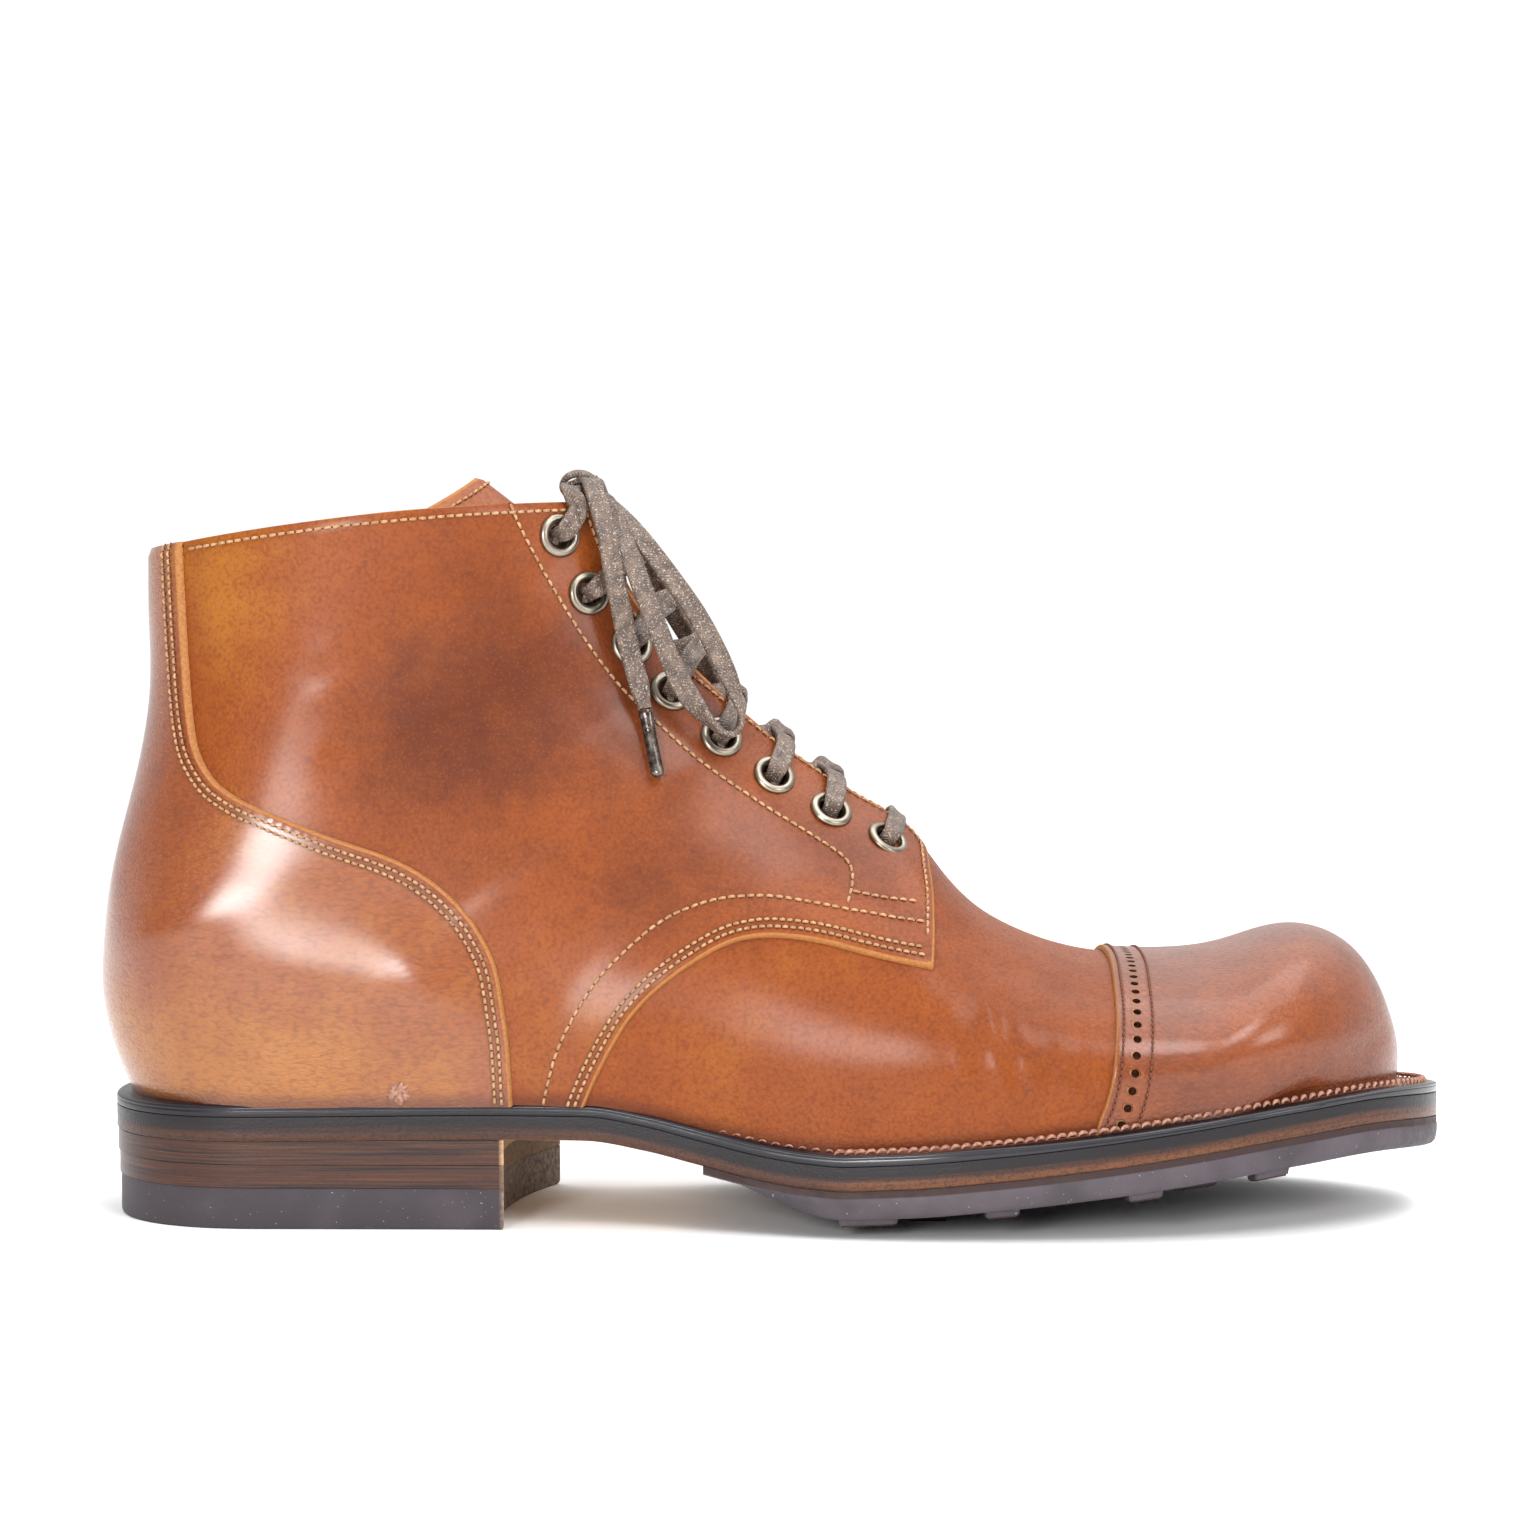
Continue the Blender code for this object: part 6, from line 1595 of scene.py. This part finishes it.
# Lace. One flat waxed cotton lace, woven as a tube and pressed: a bar over the lowest eyelets, then over
# each facing's edge and up through the next eyelet of the other side, to a knot over the tongue.
LACE_WIDTH, LACE_THICK = 4.8, 1.4
LACE_SECTION = ((-1, 0), (-0.93, 0.66), (-0.7, 1.0), (-0.35, 0.8), (0, 0.7), (0.35, 0.8), (0.7, 1.0),
                (0.93, 0.66), (1, 0), (0.93, -0.66), (0.7, -1.0), (0.35, -0.8), (0, -0.7), (-0.35, -0.8),
                (-0.7, -1.0), (-0.93, -0.66))
LACE_RISE = ((-2.6, 0), (0.4, 0.2), (2.2, 1.6))  # up through an eyelet: off the leather, and ahead
LACE_OVER = {"shoulder": 1.5, "edge": 1.1, "under": -3.3, "lead": 1.2, "sink": 1.6, "dip": 0.5}
LACE_CLIMB = {"shoulder": 0.2, "edge": 0.34, "middle": 0.5, "far": 0.64, "under": 0.84}
LACE_SHOULDER, LACE_FAR, LACE_RAISED = 3.8, 0.6, 1.5
HIDDEN = {"deep": 3.2, "raised": 0.9, "climb": 2.5, "inset": 5.0, "stop": 1.6}  # under the facings
CROSSING_STOP, CROSSING_RUN = 1.2, 40.0  # its end in the upper eyelet, and how far its weave is shifted
TOP_STRAND = {"rim": (255.5, 5.5), "over": (108, 12.4, 163), "end": (108, 6.9, 164), "lies": (0, 0.4, 0.9),
              "in": 2.5}
HOLE_WIDTH, HOLE_REACH = 0.8, 2.2  # an eyelet pinches the lace to this share of its width
WAX_BROWN, WAX_GREY = (0.085, 0.055, 0.04, 1), (0.225, 0.152, 0.11, 1)
WAX_SPECK, WEAVE_SHADE = (0.6, 0.53, 0.48, 1), (0.03, 0.02, 0.016, 1)
STRAP_STEP = 0.7

waxed_cotton, shader, at = finish("waxed_cotton", Specular_IOR_Level=0.45)
run, side = at.attribute("run"), at.attribute("side")
lean = at.math("ABSOLUTE", side) * 1.3
braid = at.math("SINE", (run + lean) * (2 * math.pi / 0.7)) * 0.5 + 0.5
ribs = at.math("SINE", side * 12.0) * 0.5 + 0.5
weave = braid * (0.5 + ribs * 0.5)
wax = at.noise(380.0, 4.0, 0.6).ramp(0.35, 0.72)
speck = at.noise(2400.0, 2.0, 0.6).ramp(0.56, 0.68)
colour = wax.tint(WAX_BROWN, WAX_GREY)
# Painted shade: the weave's grooves darker.
colour = ((1 - weave) * 0.42).tint(colour, WEAVE_SHADE)
feed(shader, Base_Color=(speck * 0.6).tint(colour, WAX_SPECK),
     Roughness=wax * 0.18 + 0.36 + speck * 0.2,
     Normal=(weave + wax * 0.4).bump(0.00012))


def strap(name, path, across, narrow=None, nodes=(), run_from=0.0, taper=None):
    """A flat lace along points in mm. across gives its width's direction at even shares of the path, and
    narrow the shares of its length where an eyelet pinches it."""
    path = np.asarray(path, float)
    count = max(int(lengths(path)[-1] / STRAP_STEP), 8)
    path = through(path, count)
    share = np.linspace(0, 1, count)
    across = np.asarray(across, float)
    wide = between(share, np.linspace(0, 1, len(across)), across)
    along = unit(np.gradient(path, axis=0))
    wide = unit(wide - along * np.sum(wide * along, 1)[:, None])
    out = np.cross(wide, along)
    size = np.ones(count)
    for place in narrow or ():
        size -= (1 - HOLE_WIDTH) * np.exp(-((share - place) * lengths(path)[-1] / HOLE_REACH) ** 2)
    if taper:
        size *= 1 - (1 - taper) * step(share, 0.9, 1.0)
    points, sides, ring = [], [], len(LACE_SECTION)
    for here, w, n, s in zip(path, wide, out, size):
        for x, z in LACE_SECTION:
            points.append(here + w * x * s * LACE_WIDTH / 2 + n * z * LACE_THICK / 2 / s ** 0.5)
            sides.append(x)
    fields = {"run": np.repeat(lengths(path) + run_from, ring), "side": sides}
    made = add_piece(name, points, tube_faces(count, ring), waxed_cotton, "waxed_lace", nodes, fields, 60.0)
    return made, path


def out_of(hole, normal, ahead):
    """The lace up through an eyelet and over its rim."""
    return [hole + normal * off + ahead * on for off, on in LACE_RISE]


def up_into(side, index, before, stop):
    """The lace from a point under the leather up into an eyelet."""
    hole, normal = EYELET_AT[side, index]
    lead = unit(hole - before) * LACE_OVER["lead"]
    return [hole + normal * LACE_OVER["under"] - lead, hole - normal * stop]


def crossing(side, other, index, rise):
    """From an eyelet over its facing's edge, across the gap, under the other facing to the next eyelet."""
    high, low = EYELETS["ridge"][index:index + 2]
    at = {name: low + (high - low) * climb for name, climb in LACE_CLIMB.items()}
    hole, normal = EYELET_AT[side, index + 1]
    edge, _ = facing_point(side, at["edge"], 0.0, LACE_OVER["edge"] + 0.7 * rise)
    shoulder, _ = facing_point(side, at["shoulder"], LACE_SHOULDER, LACE_OVER["shoulder"] + 0.3 * rise)
    ahead = unit(edge - hole)
    inward = ridge_frame(low)[1]
    centre = ridge_point(at["middle"])
    gap, _ = facing_point(other, at["far"], 0.0)
    far = centre + (gap - centre) * LACE_FAR + inward * LACE_OVER["sink"]
    under, _ = facing_point(other, at["under"], EYELETS["inset"][index] * 0.5, LACE_OVER["under"])
    last_hole, last_normal = EYELET_AT[other, index]
    dip = centre + inward * (LACE_OVER["dip"] - rise)
    path = [*out_of(hole, normal, ahead), shoulder, edge, dip, far, under,
            *up_into(other, index, under, CROSSING_STOP)]
    start = unit(np.cross(ahead, normal))
    middle = unit(np.cross(far - edge, -inward))
    end = unit(np.cross(last_hole - under, last_normal))
    return path, (start, start, middle, end, end)


def bar(index):
    """A lace straight over the gap, down through both eyelets of a pair."""
    halves = {}
    ridge = EYELETS["ridge"][index]
    for side in SIGN:
        hole, normal = EYELET_AT[side, index]
        shoulder, _ = facing_point(side, ridge, LACE_SHOULDER, LACE_OVER["shoulder"])
        edge, _ = facing_point(side, ridge, 0.0, LACE_OVER["edge"])
        halves[side] = [*out_of(hole, normal, unit(edge - hole)), shoulder, edge]
    up, inward, _ = ridge_frame(ridge)
    centre = ridge_point(ridge) - inward * LACE_OVER["edge"]
    return halves["outer"] + [centre] + halves["inner"][::-1], (up, up, up)


lowest = len(EYELETS["ridge"]) - 1
ways_across = (("outer", "inner", 0.0), ("inner", "outer", LACE_RAISED))
for index in range(lowest - 1):
    for side, other, rise in ways_across:
        path, across = crossing(side, other, index, rise)
        nodes = (f"lace_crossing_{index + 1}",) if side == "outer" else ()
        strap(f"crossing_{index + 1}_{side}", path, across, (0.06, 0.98), nodes, CROSSING_RUN * index)
path, across = bar(lowest)
strap("lowest_bar", path, across, (0.07, 0.93), ("lace_bar",))
high, low = EYELETS["ridge"][-2:]
inward = ridge_frame(low)[1]
for side, other, rise in ways_across:
    foot, foot_normal = EYELET_AT[side, lowest]
    head, head_normal = EYELET_AT[other, lowest - 1]
    centre = ridge_point((low + high) / 2) + inward * (HIDDEN["deep"] - rise * HIDDEN["raised"])
    near, _ = facing_point(side, low + HIDDEN["climb"], HIDDEN["inset"], LACE_OVER["under"])
    far, _ = facing_point(other, high - HIDDEN["climb"], HIDDEN["inset"], LACE_OVER["under"])
    path = [*up_into(side, lowest, near, HIDDEN["stop"])[::-1], near, centre, far,
            *up_into(other, lowest - 1, far, HIDDEN["stop"])]
    runs, outs = (near - foot, far - near, head - far), (foot_normal, -inward, head_normal)
    strap(f"hidden_strand_{side}", path, unit(np.cross(runs, outs)), (0.02, 0.98))
for side, sign in SIGN.items():
    hole, normal = EYELET_AT[side, 0]
    rim, _ = facing_point(side, *TOP_STRAND["rim"], LACE_OVER["shoulder"])
    over, end, lies = (np.array(TOP_STRAND[name]) * (1, sign, 1) for name in ("over", "end", "lies"))
    ahead = unit(rim - hole)
    path = [*out_of(hole, normal, ahead), rim, over, end - (0, TOP_STRAND["in"] * sign, 0)]
    start = unit(np.cross(ahead, normal))
    strap(f"top_strand_{side}", path, (start, start, unit(np.cross(end - over, lies))), (0.08,),
          (f"lace_top_{side}",))

# Knot and bow. The lace is tied in a plain bow over the tongue: a wrap round the knot, one loop and one end
# hanging down on each side, with a dark metal aglet clamped on each end.
KNOT = {"centre": (109.4, -0.5, 164.4), "reach": (3.5, 2.5), "half": 1.4}
KNOT_WRAP = {"from": 0.2, "turns": 1.08, "grows": 1.16}
KNOT_CORE = ((-1.0, -5.6, 0.6), (0.2, -2.8, 0.2), (0, 0, 0), (0.2, 2.8, 0.2), (-1.0, 5.4, 0.6))
KNOT_STEPS, BOW_STEPS = 26, 60
BOW = {
    "lace_loop_outer": ((116.3, -5.5, 160.1), (120.2, -8, 156.3), (125, -10.5, 150.6),
                        (130.8, -13, 143.1), (136.6, -15, 134.8), (141.7, -17, 125.3),
                        (145.1, -18.8, 117), (146.1, -20.4, 111.4), (143.6, -21.4, 108.6),
                        (138.9, -21.6, 112), (134.8, -21.4, 117.1), (131.5, -21, 123.1),
                        (128.2, -20, 131.1), (124.3, -17.6, 141.2), (120.4, -13, 150.8),
                        (117.5, -9, 156.9)),
    "lace_loop_inner": ((115.2, 5.5, 161.1), (118.7, 8.5, 154.8), (122.8, 11, 147.4),
                        (127.3, 13.4, 140.1), (132.1, 15.6, 132.4), (136.9, 17.4, 124.3),
                        (140.6, 18.8, 116.2), (142.5, 20.4, 110.3), (140.6, 21.4, 107.5),
                        (136.4, 21.8, 111.4), (132.7, 21.6, 117.2), (129.4, 21.2, 123.3),
                        (126.2, 20.2, 131.2), (122.9, 17.6, 141), (119.6, 12.6, 150.9),
                        (116.8, 8.8, 157)),
    "lace_end_outer": ((112.7, -8, 164.6), (114.8, -12.6, 158.6), (116.6, -15.4, 152),
                       (117.9, -16.8, 144.1), (119.6, -17.6, 135.9), (121.4, -18.6, 127.4),
                       (123.3, -20, 120.8), (124.9, -21.6, 114.5)),
    "lace_end_inner": ((112.7, 7, 164.6), (114.4, 12.2, 158.6), (115.8, 15.4, 152),
                       (117, 16.8, 144), (118.6, 17.8, 136), (120.4, 19, 127.4),
                       (122.2, 20.8, 120.4), (123.8, 22.6, 114.2)),
}
AGLETS = {
    "aglet_outer": ((125, -21.7, 114), (126.3, -23.6, 107.4), (128, -26.4, 99.6)),
    "aglet_inner": ((123.9, 22.7, 113.7), (125.2, 24.8, 107), (126.8, 27.6, 99.4)),
}
AGLET = {"wide": (1.62, 1.75, 1.55, 1.45, 1.5, 1.2, 0.5), "at": (0, 0.04, 0.12, 0.5, 0.92, 0.97, 1.0)}
AGLET_SIDES, AGLET_FLAT = 20, 0.72
LOOP_TURN = (0.5, 0.09)  # where a loop folds on edge: share of its length, and reach
END_TAPER = 0.62  # a lace's end is pressed to this share of its width in the aglet
AGLET_DARK, AGLET_BRIGHT = (0.05, 0.035, 0.028, 1), (0.17, 0.145, 0.125, 1)
aglet_metal, shader, at = finish("aglet_metal", Metallic=0.85, Coat_Weight=0.4, Coat_Roughness=0.08)
feed(shader, Base_Color=at.noise(500.0, 4.0).ramp(0.4, 0.7).tint(AGLET_DARK, AGLET_BRIGHT),
     Roughness=at.noise(900.0, 3.0).ramp(0.3, 0.8) * 0.25 + 0.2,
     Normal=at.noise(900.0, 2.0).bump(0.0001))


def aglet(name, route, node):
    """A thin sleeve pressed round the lace's end, a little flat, closed to a blunt tip."""
    line = through(route, 40)
    along = unit(line[-1] - line[0])
    wide = unit(np.cross(along, (0, 1, 0)))
    out = np.cross(wide, along)
    parts = [np.linspace(a, b, 5)[:-1] for a, b in zip(AGLET["at"], AGLET["at"][1:])]
    stations = np.concatenate([*parts, [1.0]])
    points = []
    for share in stations:
        here = spaced(line, [share])[0]
        radius = float(smooth(AGLET["at"], AGLET["wide"], share))
        for turn in np.linspace(0, 2 * math.pi, AGLET_SIDES, endpoint=False):
            points.append(here + radius * (wide * math.cos(turn) + out * math.sin(turn) * AGLET_FLAT))
    faces = tube_faces(len(stations), AGLET_SIDES)
    return solid_piece(name, points, faces, aglet_metal, "antique_brass", (node,))


knot = np.array(KNOT["centre"])
turns = np.linspace(KNOT_WRAP["from"], KNOT_WRAP["from"] + 2 * math.pi * KNOT_WRAP["turns"], KNOT_STEPS)
grow = np.linspace(1.0, KNOT_WRAP["grows"], KNOT_STEPS)
aside = KNOT["half"] * np.linspace(-1, 1, KNOT_STEPS)
wrap = np.stack([KNOT["reach"][0] * np.cos(turns) * grow, aside, KNOT["reach"][1] * np.sin(turns) * grow], 1)
strap("knot_wrap", knot + wrap, [(0, 1, 0.15)] * 3, None, ("lace_knot",))
strap("knot_core", knot + KNOT_CORE, [(1, 0, 0.3)] * 3)
for name, route in BOW.items():
    side = name.split("_")[-1]
    outward = SIGN[side]
    start = knot + (2.4, outward * 2.2, -1.6) if "loop" in name else knot + (2.8, outward * 2.0, 1.1)
    route = [start, *route]
    line = through(route, BOW_STEPS)
    share = np.linspace(0, 1, BOW_STEPS)
    face = np.tile((0.25, outward * 0.9, 0.3), (BOW_STEPS, 1))
    top = 1 - step(share, 0.03, 0.16)[:, None]
    face = face * (1 - top) + np.array((0.1, outward * 0.3, 1.0)) * top
    if "loop" in name:
        route.append(knot + (3.0, outward * 2.6, -2.6))
        line = through(route, BOW_STEPS)
        fold = np.exp(-((share - LOOP_TURN[0]) / LOOP_TURN[1]) ** 2)[:, None]
        radial = line - line[BOW_STEPS // 3:2 * BOW_STEPS // 3].mean(0)
        radial[:, 1] = 0
        radial /= np.linalg.norm(radial, axis=1)[:, None] + 1e-6
        face = face * (1 - fold) + radial * fold
    across = np.cross(np.gradient(line, axis=0), face)
    made, path = strap(name.replace("lace", "bow"), route, across, None, (name,),
                       taper=None if "loop" in name else END_TAPER)
    facts = {"exit": tuple(place_mm(path[0])), "length": float(lengths(path)[-1]) * MM,
             "path": place_mm(path), "diameter": LACE_WIDTH * MM, "stiffness": "limp", "lay": "hanging"}
    if "loop" in name:
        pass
    else:
        tip = aglet(f"{side}_aglet_sleeve", AGLETS[f"aglet_{side}"], f"aglet_{side}")
